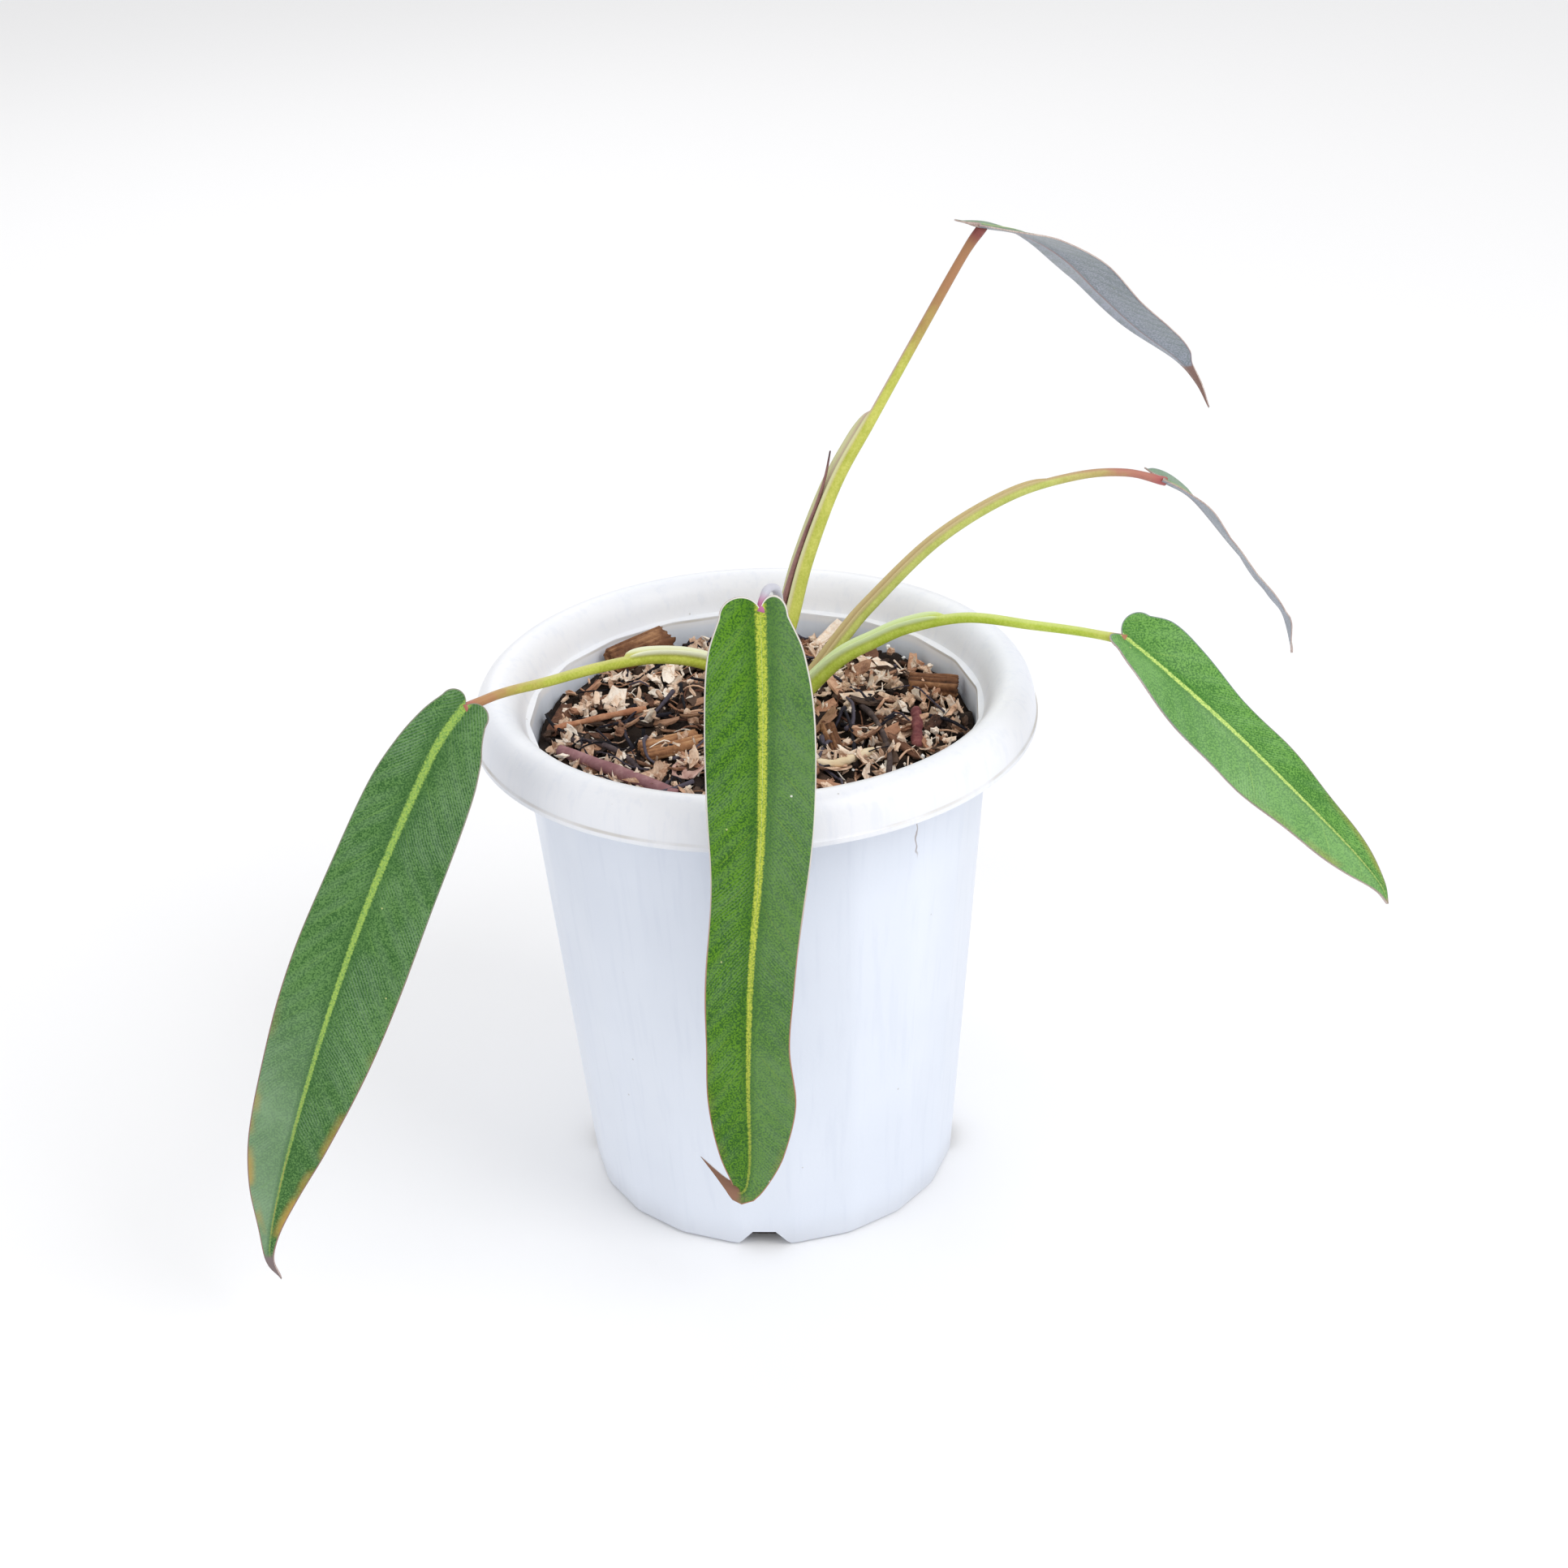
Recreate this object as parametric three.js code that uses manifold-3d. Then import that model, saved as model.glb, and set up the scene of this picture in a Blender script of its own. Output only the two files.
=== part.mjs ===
// A philodendron with five long drooping leaves in a white nursery pot, standing on its foot.
// Millimetres, +Z up. The origin is the centre of the pot's foot, on the surface it stands on.

import * as THREE from 'three';
import { mergeVertices } from 'three/addons/utils/BufferGeometryUtils.js';
import Module from 'manifold-3d';

const wasm = await Module();
wasm.setup();

// Driving dimensions

const GAP = 0.3; // clearance between two pieces that touch
const SLIVER = 0.1; // the least width that a grown blade keeps on each side of its midrib

const POT = {
  sides: 20, // flat panels round the wall
  facets: 60, // straight steps round every ring
  turn: -4, // degrees, so that one drain notch faces the front
  footRadius: 57.9,
  wallTopRadius: 70.4,
  wallTop: 154.5,
  innerFootRadius: 55.9,
  innerTopRadius: 67.5,
  innerTop: 157.2,
  lipRadius: 84,
  lipCrestRadius: 76.7,
  lipCrest: 167.7,
  lipSheet: 2,
  floor: 2.2,
  footBevel: 1.5,
  neckRadius: 72, // only what lies inside this radius, under the lip, has flat panels
  // The rolled lip, as radius and height: under it outwards, then over it and back in.
  lipUnderInner: [[71.2, 158.5], [73.2, 163.3]],
  lipUnderOuter: [[79.6, 164], [81.4, 160.5]],
  lipOutside: [[84, 158.2], [83, 162.4], [80.6, 166.2]],
  lipInside: [[73, 166.6], [70, 163]],
};

const NOTCH = {
  count: 4,
  footWidth: 17,
  topWidth: 7,
  height: 5.3,
  innerRadius: 38,
  roof: 2,
  drainRadius: 3.2,
  drainAt: 46,
  overrun: 5, // how far a cutting bar reaches past the wall
};

const MIX = {
  top: 149.6,
  rings: [62, 51, 39, 26, 13],
  facets: 40,
  ripple: 1.3, // how far the top rises and falls
  rim: 63, // beyond this radius the mix follows the inner wall
  chips: 62,
  chipSpread: 60,
  chipLength: [2.2, 5.2], // half of it, as are the next two
  chipWidth: [0.5, 0.9], // in lengths
  chipThickness: [0.35, 0.6],
  chipTilt: 1.1, // radians
  chipLift: 0.18, // how far a chip's middle stands above the top, in lengths
  seed: 11,
};

// The stem's outline is a share of its radius and a height, from the foot up.
const STEM = {
  x: 3.5,
  y: 0,
  radius: 8.2,
  facets: 18,
  outline: [[0.55, 116], [0.85, 125], [0.96, 138], [1, 147], [0.98, 152], [0.7, 156]],
  top: 157,
};

const ROOTS = [
  [[3, 0, 140], [-8, -4, 150], [-15, -6, 147], [-21, -7, 138]],
  [[4, 0, 140], [12, -9, 151], [15, -17, 150], [16, -24, 141]],
  [[4, 0, 140], [14, 6, 151], [21, 9, 149], [26, 12, 139]],
  [[3, 0, 140], [-3, 10, 151], [-6, 17, 149], [-8, 23, 139]],
];
const ROOT_RADIUS = 2.1;
const ROOT_TAPER = 0.45; // the share of its radius that a root loses on the way

const PETIOLE_SIDES = 12;
const PETIOLE_STEPS = 20;
const WING_ANGLE = Math.PI / 6; // the sheath has a wing on each side of the groove
const CHANNEL_DEPTH = 0.3; // how deep the groove between them is, in petiole radii

const BLADE = {
  rows: 26,
  columns: [-1, -0.6, -0.12, 0, 0.12, 0.6, 1],
  lobeRows: 4,
  edge: 0.4, // half the thickness at the margin
  rib: 1.0, // half the thickness along the midrib
  ribWidth: 1.6,
  foldEnd: 0.35, // where along the midrib the steep fold of the base has eased off
};

// Each leaf: its petiole runs from the stem to the blade's base, and the midrib from there to the tip.
// sheath is the share of the petiole that has wings, wing how far each stands out, in petiole radii, and
// channel the side with the groove. face holds the ways the blade's upper side looks, evenly spaced from
// base to tip, and fold how steeply the two halves rise at the base and further on.
// Each outline row is a share of the midrib and the half widths to its left and to its right there.
const LEAVES = {
  left: {
    petiole: [
      [-1.8, -1.6, 152.5], [-7.5, -5, 168], [-14.5, -9, 176], [-28, -18, 182.5], [-43, -30, 186],
      [-57, -42, 188], [-69, -52, 189.8], [-78.5, -60, 189.5],
    ],
    radii: [2.1, 1.25],
    sheath: 0.5,
    wing: [1.1, 1.1],
    channel: [-0.3, -0.2, 1],
    midrib: [
      [-78.5, -60, 189.5], [-84, -63, 183.5], [-91, -66, 172], [-108, -74, 139], [-124, -82, 102],
      [-139, -90, 61], [-146, -94, 35], [-143.5, -96, 26],
    ],
    face: [[-0.1, -0.9, 0.4], [0, -0.95, 0.25], [-0.1, -0.95, 0.25]],
    outline: [
      [0, 6.8, 8], [0.06, 9.6, 13.6], [0.15, 12.6, 16.2], [0.3, 13.5, 17.2], [0.45, 14.8, 17.4],
      [0.6, 14.2, 15.4], [0.75, 12.3, 10.4], [0.84, 8.8, 6], [0.92, 3.4, 2.3], [1, 0, 0],
    ],
    lobes: [3.6, 4],
    fold: [0.2, 0.06],
    wave: { height: 0.8, count: 4, left: 0.1, right: 0.55 },
  },
  front: {
    petiole: [
      [3.3, -5, 152.5], [5, -14, 163], [6.5, -30, 182], [8.2, -52, 204], [8.4, -70, 221],
      [7.6, -79.5, 230], [5.2, -85, 232], [3.5, -88.4, 227.6],
    ],
    radii: [2.2, 1.05],
    sheath: 0.4,
    wing: [0.85, 0.85],
    channel: [0, 0.6, 0.8],
    midrib: [
      [3.5, -88.4, 227], [3.3, -91, 214], [2.8, -93, 196], [0.7, -95.5, 161], [-3.4, -97, 124],
      [-5.6, -97.3, 90], [-6.4, -97, 62], [-8.6, -96, 50.5], [-13, -94.5, 52], [-20.4, -92, 60.5],
    ],
    face: [[0, -0.9, 0.4], [0, -0.9, 0.3], [0.05, -0.9, 0.4]],
    outline: [
      [0, 10.6, 7], [0.05, 13.9, 11], [0.14, 15.2, 13.5], [0.28, 14.5, 14], [0.42, 12.4, 12.7],
      [0.56, 12.3, 12], [0.65, 11.7, 11.4], [0.75, 11.2, 13.3], [0.84, 8.4, 9.8], [0.9, 4.2, 5],
      [0.94, 1.5, 1.5], [1, 0, 0],
    ],
    lobes: [5, 5.2],
    fold: [0.24, 0.08],
    wave: { height: 1.2, count: 3.5, left: 0.3, right: 0.85 },
  },
  right: {
    petiole: [
      [8.2, -1.4, 152.5], [13, -3.2, 159.5], [25, -8, 174], [36, -12, 182], [46, -16, 188],
      [61.5, -24, 194], [79, -33, 195], [92, -39.5, 195.4], [103.6, -45.6, 195.2],
    ],
    radii: [2.1, 1.2],
    sheath: 0.54,
    wing: [1.1, 1.1],
    channel: [-0.2, 0, 1],
    midrib: [
      [103.6, -45.6, 195], [113, -52, 188.5], [129, -62, 176], [144.5, -71, 162], [160, -81, 147.5],
      [168, -86.5, 138.5], [170.5, -88.5, 133],
    ],
    face: [[0.3, -0.48, 0.83], [0.36, -0.54, 0.76], [0.46, -0.46, 0.76]],
    outline: [
      [0, 6.4, 9], [0.06, 9.6, 12], [0.16, 11.8, 12.8], [0.3, 12.8, 12.4], [0.45, 12.8, 11.6],
      [0.6, 11.6, 10.4], [0.75, 9.7, 8.6], [0.86, 6.6, 6.2], [0.95, 2.2, 2.6], [1, 0, 0],
    ],
    lobes: [4, 4.4],
    fold: [0.42, -0.1],
    wave: { height: 0.6, count: 3, left: 0.2, right: 0.6 },
  },
  upright: {
    petiole: [
      [7, 3.6, 152.5], [18, 8.5, 161.5], [27, 14, 171], [36, 20, 179], [57, 32, 194], [80, 43, 203],
      [101, 51, 205.5], [117, 56, 204], [130, 60, 199],
    ],
    radii: [2.1, 1.2],
    sheath: 0.725,
    wing: [0.7, 0.7],
    channel: [-0.3, 0, 1],
    midrib: [
      [130, 60, 199], [141, 72, 188], [156.5, 90, 165], [166, 100, 151], [175, 110, 136],
      [182, 118, 125], [187, 126, 110], [188, 128, 105],
    ],
    face: [
      [0.53, 0.25, 0.81], [0.77, 0.13, 0.62], [0.77, 0.12, 0.62], [0.75, 0.14, 0.65],
      [0.98, -0.15, 0.1],
    ],
    outline: [
      [0, 8, 8], [0.06, 11, 11], [0.16, 12.4, 12.4], [0.35, 12.6, 12.6], [0.55, 11.6, 11.6],
      [0.75, 8.6, 8.6], [0.88, 4.6, 4.6], [0.96, 1.4, 1.4], [1, 0, 0],
    ],
    lobes: [5, 5],
    fold: [0.06, 0.03],
    wave: { height: 0.3, count: 3, left: 0.3, right: 0.7 },
  },
  tall: {
    petiole: [
      [1.6, 5, 152.5], [7, 7.8, 166], [12, 12, 179], [17.5, 20, 195], [27, 32, 214], [38, 43, 229],
      [53, 56, 250], [68, 66, 272], [74, 68.5, 279.6],
    ],
    radii: [2.3, 1.35],
    sheath: 0.6,
    wing: [0.5, 1.6],
    channel: [-1, 0.1, 0.35],
    midrib: [
      [74.4, 68.4, 279.6], [88, 88, 271], [103, 108, 257], [118, 128, 238], [133, 146, 220],
      [150, 161, 203], [158, 167.5, 192], [163, 172, 181],
    ],
    face: [[0.23, 0.25, 0.94], [0.46, 0.4, 0.79], [0.45, 0.74, 0.5]],
    outline: [
      [0, 8, 8.4], [0.06, 11.4, 11], [0.16, 13.2, 12.6], [0.35, 14, 13], [0.55, 14.2, 11.4],
      [0.7, 12, 7.6], [0.8, 7.8, 4.2], [0.86, 3, 2.2], [0.93, 1, 1], [1, 0, 0],
    ],
    lobes: [7.5, 8.5],
    fold: [0.02, 0.13],
    wave: { height: 0.3, count: 3, left: 0.15, right: 0.65 },
  },
};

// The youngest leaf, still rolled into a spike that stands in the tall petiole's sheath.
const SPIKE = {
  path: [
    [5.2, 9.3, 170], [9.7, 14, 183.2], [13.3, 18.8, 192.7], [17.4, 24.2, 201.8], [20.9, 28.5, 208.8],
    [23.8, 33, 215.9], [25.6, 37, 222.4],
  ],
  radii: [1.15, 0.3],
};

// Pieces lying on the mix: flat ones by middle, length, width, thickness and three turns in degrees.
const SLABS = {
  bark_back: { at: [-36, 46, 155], size: [22, 9, 5.5], turn: [12, -6, 33] },
  bark_right: { at: [54.3, 16, 153.4], size: [15.5, 6.5, 4.8], turn: [8, 5, -6] },
  bark_flat: { at: [-25, -12.5, 151.2], size: [19, 8.5, 3], turn: [4, 0, 22] },
  bark_strip: { at: [22.5, -14, 151.2], size: [4.6, 18, 3], turn: [3, -5, 8] },
};

// Round ones by their path and their radius at each end.
const STICKS = {
  old_petiole: {
    path: [[-57.6, -16, 153], [-47.7, -24.5, 153], [-35.6, -34.1, 152.4], [-23, -44.5, 151.4]],
    radii: [1.6, 2.3],
  },
  red_stick: { path: [[48, 1, 152.6], [47.8, -9, 153], [47, -20.6, 152]], radii: [1.5, 1.7] },
  pale_root: {
    path: [[16.5, -28.5, 151.6], [22.9, -30.2, 152.4], [29, -26.5, 152.4], [34, -21, 151.4]],
    radii: [1.4, 1.1],
  },
  pink_twig: { path: [[-60, -1.5, 152.8], [-46.5, 4.2, 153], [-33.3, 11.2, 151.8]], radii: [0.9, 1] },
  root_left: {
    path: [[-54.5, -8, 152], [-46, -12, 152.4], [-39, -19, 152.2], [-34, -27, 151.2]],
    radii: [0.8, 0.9],
  },
  root_right: {
    path: [[32, 8, 151.4], [34.9, -1.1, 152.6], [37.4, -14, 152.8], [38.6, -27, 152.4], [37, -44, 151.2]],
    radii: [0.9, 0.8],
  },
};

// The thin dry scrap of an old leaf, curled up at both sides.
const SCRAP = { at: [-19, -27, 150.8], length: 13, width: 9, turn: 68, curl: 0.9, sheet: 0.4 };

// How far the corners of a bark chip are pushed about, in its own length, width and thickness.
const SLAB_RAGGED = { length: 0.16, width: 0.2, thickness: 0.22 };

// Small tools

const vector = (point) => new THREE.Vector3(...point);
const radians = THREE.MathUtils.degToRad;
const mix = THREE.MathUtils.lerp;

// A repeatable row of random numbers from 0 to 1.
function draws(seed) {
  let state = seed;
  return () => {
    state = (state * 1664525 + 1013904223) % 4294967296;
    return state / 4294967296;
  };
}

function volume(position, index) {
  const a = new THREE.Vector3();
  const b = new THREE.Vector3();
  const c = new THREE.Vector3();
  let sum = 0;
  for (let i = 0; i < index.length; i += 3) {
    a.fromBufferAttribute(position, index[i]);
    b.fromBufferAttribute(position, index[i + 1]);
    c.fromBufferAttribute(position, index[i + 2]);
    sum += a.dot(b.cross(c));
  }
  return sum / 6;
}

// Shares the corners, drops triangles that have shrunk to a line and turns the faces outwards.
function closed(geometry) {
  const bare = geometry.clone();
  bare.deleteAttribute('normal');
  bare.deleteAttribute('uv');
  const merged = mergeVertices(bare, 1e-4);
  const corners = merged.index.array;
  const kept = [];
  for (let i = 0; i < corners.length; i += 3) {
    const [a, b, c] = corners.slice(i, i + 3);
    if (a !== b && b !== c && c !== a) kept.push(a, b, c);
  }
  if (volume(merged.attributes.position, kept) < 0) kept.reverse();
  merged.setIndex(kept);
  return merged;
}

function solid(geometry) {
  const whole = closed(geometry);
  return new wasm.Manifold(new wasm.Mesh({
    numProp: 3,
    vertProperties: new Float32Array(whole.attributes.position.array),
    triVerts: new Uint32Array(whole.index.array),
  }));
}

// The largest body that a cut leaves; loose scraps are dropped.
function largest(body) {
  const pieces = body.decompose();
  return pieces.reduce((best, piece) => (piece.volume() > best.volume() ? piece : best));
}

function geometryOf(body) {
  const mesh = body.getMesh();
  const geometry = new THREE.BufferGeometry();
  geometry.setAttribute('position', new THREE.BufferAttribute(mesh.vertProperties, 3));
  geometry.setIndex(new THREE.BufferAttribute(mesh.triVerts, 1));
  return geometry;
}

function joined(bodies) {
  return bodies.reduce((sum, body) => sum.add(body));
}

function without(body, cutters) {
  return largest(cutters.reduce((left, cutter) => left.subtract(cutter), body));
}

// A closed round body along a path. radiusAt(t, angle) gives its section, from the channel side round.
function sweep({ path, radiusAt, sides, steps, channel = [0, 0, 1], grow = 0 }) {
  const curve = new THREE.CatmullRomCurve3(path.map(vector), false, 'catmullrom', 0.5);
  const positions = [];
  const index = [];
  for (let i = 0; i <= steps; i++) {
    const t = i / steps;
    const tangent = curve.getTangentAt(t);
    const middle = curve.getPointAt(t);
    if (i === 0) middle.addScaledVector(tangent, -grow);
    if (i === steps) middle.addScaledVector(tangent, grow);
    const across = vector(channel).addScaledVector(tangent, -vector(channel).dot(tangent)).normalize();
    const beside = new THREE.Vector3().crossVectors(tangent, across);
    for (let j = 0; j < sides; j++) {
      const angle = (j / sides) * 2 * Math.PI;
      const radius = radiusAt(t, angle) + grow;
      positions.push(...middle.clone()
        .addScaledVector(across, radius * Math.cos(angle))
        .addScaledVector(beside, radius * Math.sin(angle)));
    }
  }
  for (let i = 0; i < steps; i++) {
    for (let j = 0; j < sides; j++) {
      const a = i * sides + j;
      const b = i * sides + (j + 1) % sides;
      index.push(a, b, b + sides, a, b + sides, a + sides);
    }
  }
  const last = steps * sides;
  for (let j = 1; j < sides - 1; j++) {
    index.push(0, j + 1, j, last, last + j, last + j + 1);
  }
  const geometry = new THREE.BufferGeometry();
  geometry.setAttribute('position', new THREE.Float32BufferAttribute(positions, 3));
  geometry.setIndex(index);
  return closed(geometry);
}

// A closed thin sheet: the same triangles on its upper and its lower face, and a rim between them.
function sheet(rows, columns, place) {
  const wide = columns.length;
  const faces = (rows + 1) * wide;
  const positions = [];
  const index = [];
  for (const side of [1, -1]) {
    for (let i = 0; i <= rows; i++) {
      for (const column of columns) positions.push(...place(i, column, side));
    }
  }
  for (let i = 0; i < rows; i++) {
    for (let j = 0; j < wide - 1; j++) {
      const a = i * wide + j;
      const b = a + wide;
      index.push(a, b, b + 1, a, b + 1, a + 1);
      index.push(faces + a, faces + b + 1, faces + b, faces + a, faces + a + 1, faces + b + 1);
    }
  }
  const rim = [];
  for (let i = 0; i <= rows; i++) rim.push(i * wide);
  for (let j = 1; j < wide; j++) rim.push(rows * wide + j);
  for (let i = rows - 1; i >= 0; i--) rim.push(i * wide + wide - 1);
  for (let j = wide - 2; j > 0; j--) rim.push(j);
  rim.forEach((a, k) => {
    const b = rim[(k + 1) % rim.length];
    index.push(b, a, faces + a, b, faces + a, faces + b);
  });
  const geometry = new THREE.BufferGeometry();
  geometry.setAttribute('position', new THREE.Float32BufferAttribute(positions, 3));
  geometry.setIndex(index);
  return closed(geometry);
}

function lathe(profile, facets) {
  const points = profile.map(([radius, height]) => new THREE.Vector2(radius, height));
  return new THREE.LatheGeometry(points, facets).rotateX(Math.PI / 2);
}

// Pot

// Draws a round ring in to flat panels with a corner every 18 degrees.
function panelled(geometry, isWall) {
  const position = geometry.attributes.position;
  const step = (2 * Math.PI) / POT.sides;
  for (let i = 0; i < position.count; i++) {
    const x = position.getX(i);
    const y = position.getY(i);
    const radius = Math.hypot(x, y);
    if (!isWall(radius, position.getZ(i))) continue;
    const turn = Math.atan2(y, x) + 2 * Math.PI;
    const fromMiddle = (turn % step) - step / 2;
    const pull = Math.cos(step / 2) / Math.cos(fromMiddle);
    position.setXY(i, x * pull, y * pull);
  }
  return geometry.rotateZ(radians(POT.turn) + step / 2);
}

function potShell() {
  const { footRadius, footBevel, wallTopRadius, wallTop, innerTopRadius, innerTop } = POT;
  const profile = [
    [0, 0],
    [footRadius - footBevel, 0],
    [footRadius, footBevel],
    [wallTopRadius, wallTop],
    ...POT.lipUnderInner,
    [POT.lipCrestRadius, POT.lipCrest - POT.lipSheet],
    ...POT.lipUnderOuter,
    [POT.lipRadius - POT.lipSheet, wallTop],
    [POT.lipRadius, wallTop],
    ...POT.lipOutside,
    [POT.lipCrestRadius, POT.lipCrest],
    ...POT.lipInside,
    [innerTopRadius, innerTop],
    [mix(innerTopRadius, POT.innerFootRadius, 0.04), mix(innerTop, POT.floor, 0.04)],
    [POT.innerFootRadius, POT.floor],
    [0, POT.floor],
  ];
  const isWall = (radius, height) => radius < POT.neckRadius && height < wallTop + 1;
  return panelled(lathe(profile, POT.facets), isWall);
}

// A bar with a trapezoid section, pointing outwards along the floor; grow thickens it all round.
function notchBar(turn, grow, from, to, below) {
  const foot = NOTCH.footWidth / 2 + grow;
  const top = NOTCH.topWidth / 2 + grow;
  const height = NOTCH.height + grow;
  const low = foot + ((foot - top) / height) * below;
  const shape = new THREE.Shape([
    new THREE.Vector2(-low, -below),
    new THREE.Vector2(low, -below),
    new THREE.Vector2(top, height),
    new THREE.Vector2(-top, height),
  ]);
  return new THREE.ExtrudeGeometry(shape, { depth: to - from, bevelEnabled: false })
    .rotateX(Math.PI / 2)
    .translate(0, -from, 0)
    .rotateZ(turn);
}

const notchTurns = Array.from({ length: NOTCH.count }, (_, k) => {
  return radians(POT.turn) + (k * 2 * Math.PI) / NOTCH.count;
});

function pot() {
  const roofs = notchTurns.map((turn) => {
    const from = NOTCH.innerRadius - NOTCH.roof;
    return solid(notchBar(turn, NOTCH.roof, from, POT.innerFootRadius + GAP, 0));
  });
  const channels = notchTurns.map((turn) => {
    return solid(notchBar(turn, 0, NOTCH.innerRadius, POT.footRadius + NOTCH.overrun, 1));
  });
  const drains = notchTurns.map((turn) => {
    const drain = new THREE.CylinderGeometry(NOTCH.drainRadius, NOTCH.drainRadius, 4 * NOTCH.height, 16);
    return solid(drain.rotateX(Math.PI / 2).translate(0, -NOTCH.drainAt, NOTCH.height).rotateZ(turn));
  });
  return without(joined([solid(potShell()), ...roofs]), [...channels, ...drains]);
}

// Stem and leaves

function stem(grow = 0) {
  const profile = [
    [0, STEM.outline[0][1] - grow],
    ...STEM.outline.map(([share, height], k) => {
      return [share * STEM.radius + grow, height + (k === 0 ? -grow : 0)];
    }),
    [0, STEM.top + grow],
  ];
  const trunk = lathe(profile, STEM.facets).translate(STEM.x, STEM.y, 0);
  const roots = ROOTS.map((path) => sweep({
    path,
    radiusAt: (t) => ROOT_RADIUS * (1 - ROOT_TAPER * t),
    sides: 7,
    steps: 7,
    grow,
  }));
  return joined([trunk, ...roots].map(solid));
}

function petiole(leaf, grow = 0) {
  const [thick, thin] = leaf.radii;
  const radiusAt = (t, angle) => {
    const round = mix(thick, thin, t ** 0.8);
    const open = THREE.MathUtils.smoothstep(t, 0.02, 0.12);
    const shut = 1 - THREE.MathUtils.smoothstep(t, leaf.sheath - 0.06, leaf.sheath);
    const fromGroove = Math.min(angle, 2 * Math.PI - angle);
    const rise = leaf.wing[angle < Math.PI ? 0 : 1];
    const wing = Math.abs(fromGroove - WING_ANGLE) < WING_ANGLE / 2 ? rise : 0;
    const groove = fromGroove < WING_ANGLE / 2 ? CHANNEL_DEPTH : 0;
    return round * (1 + (wing - groove) * open * shut);
  };
  const { petiole: path, channel } = leaf;
  return sweep({ path, radiusAt, sides: PETIOLE_SIDES, steps: PETIOLE_STEPS, channel, grow });
}

// Half the blade's width at t along the midrib, eased between the rows of the outline.
function halfWidth({ outline }, t, column) {
  const next = Math.max(1, outline.findIndex((row) => row[0] >= t));
  const rows = [next - 2, next - 1, next, next + 1].map((k) => {
    return outline[THREE.MathUtils.clamp(k, 0, outline.length - 1)];
  });
  const [before, from, to, after] = rows;
  const share = (t - from[0]) / (to[0] - from[0]);
  const slope = (a, b) => ((b[column] - a[column]) / (b[0] - a[0])) * (to[0] - from[0]);
  const start = slope(before, to);
  const end = slope(from, after);
  const rise = to[column] - from[column];
  const bend = (3 * rise - 2 * start - end) * share ** 2 + (start + end - 2 * rise) * share ** 3;
  return Math.max(0, from[column] + start * share + bend);
}

// Where a point of the flat blade lies: rows fan round the base for the two lobes, then run across.
function onPattern(leaf, row, across, grow) {
  const { lobeRows, rows } = BLADE;
  const column = across < 0 ? 1 : 2;
  if (row < lobeRows) {
    const angle = Math.PI * (1 - row / lobeRows);
    const middle = leaf.outline[0][column] / 2;
    const aside = Math.max(SLIVER, middle + (middle + grow) * Math.cos(angle));
    const lobe = leaf.lobes[column - 1] + grow;
    const back = grow + lobe * Math.sin(angle) * Math.abs(across);
    return { t: 0, back, aside: (row === 0 ? 0 : aside) * across };
  }
  const t = (row - lobeRows) / (rows - lobeRows);
  const back = t === 0 ? grow : 0;
  return { t, back, aside: (halfWidth(leaf, t, column) + grow) * across };
}

function faceAt({ face }, t) {
  const place = t * (face.length - 1);
  const before = Math.min(Math.floor(place), face.length - 2);
  return vector(face[before]).lerp(vector(face[before + 1]), place - before);
}

function blade(leaf, grow = 0) {
  const curve = new THREE.CatmullRomCurve3(leaf.midrib.map(vector), false, 'catmullrom', 0.5);
  const { wave, fold } = leaf;
  return sheet(BLADE.rows, BLADE.columns, (row, across, side) => {
    const { t, back, aside } = onPattern(leaf, row, across, grow);
    const tangent = curve.getTangentAt(t);
    const face = faceAt(leaf, t);
    const up = face.addScaledVector(tangent, -face.dot(tangent)).normalize();
    const sideways = new THREE.Vector3().crossVectors(up, tangent);
    const phase = across < 0 ? wave.left : wave.right;
    const swell = Math.sin(Math.PI * Math.min(1, t * 1.1)) * wave.height * across * across;
    const slope = mix(fold[0], fold[1], THREE.MathUtils.smoothstep(t, 0, BLADE.foldEnd));
    const rise = slope * Math.abs(aside) + swell * Math.sin(2 * Math.PI * (wave.count * t + phase));
    const rib = Math.exp(-((aside / BLADE.ribWidth) ** 2)) * (1 - 0.6 * t);
    const lift = side * (mix(BLADE.edge, BLADE.rib, rib) + grow);
    return curve.getPointAt(t)
      .addScaledVector(tangent, -back)
      .addScaledVector(sideways, aside)
      .addScaledVector(up, rise + lift);
  });
}

function spike(grow = 0) {
  const [thick, thin] = SPIKE.radii;
  const radiusAt = (t) => mix(thick, thin, t);
  return sweep({ path: SPIKE.path, radiusAt, sides: 8, steps: 14, channel: [-1, 0, 0], grow });
}

// What lies on the mix

// A bark chip: a block whose corners are pushed about a little.
function slab({ at, size, turn }, seed, grow = 0) {
  const random = draws(seed);
  const [long, wide, thick] = size;
  const box = new THREE.BoxGeometry(long, wide, thick, 3, 2, 1);
  box.deleteAttribute('normal');
  box.deleteAttribute('uv');
  const block = mergeVertices(box);
  const position = block.attributes.position;
  for (let i = 0; i < position.count; i++) {
    const [x, y, z] = [position.getX(i), position.getY(i), position.getZ(i)];
    const pinch = 1 - SLAB_RAGGED.length * random();
    const bump = (random() - 0.5) * SLAB_RAGGED.thickness * thick;
    position.setXYZ(
      i,
      x * pinch + Math.sign(x) * grow,
      y * (1 - SLAB_RAGGED.width * random()) + Math.sign(y) * grow,
      z + bump + Math.sign(z) * grow,
    );
  }
  return block
    .rotateX(radians(turn[0]))
    .rotateY(radians(turn[1]))
    .rotateZ(radians(turn[2]))
    .translate(...at);
}

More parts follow.
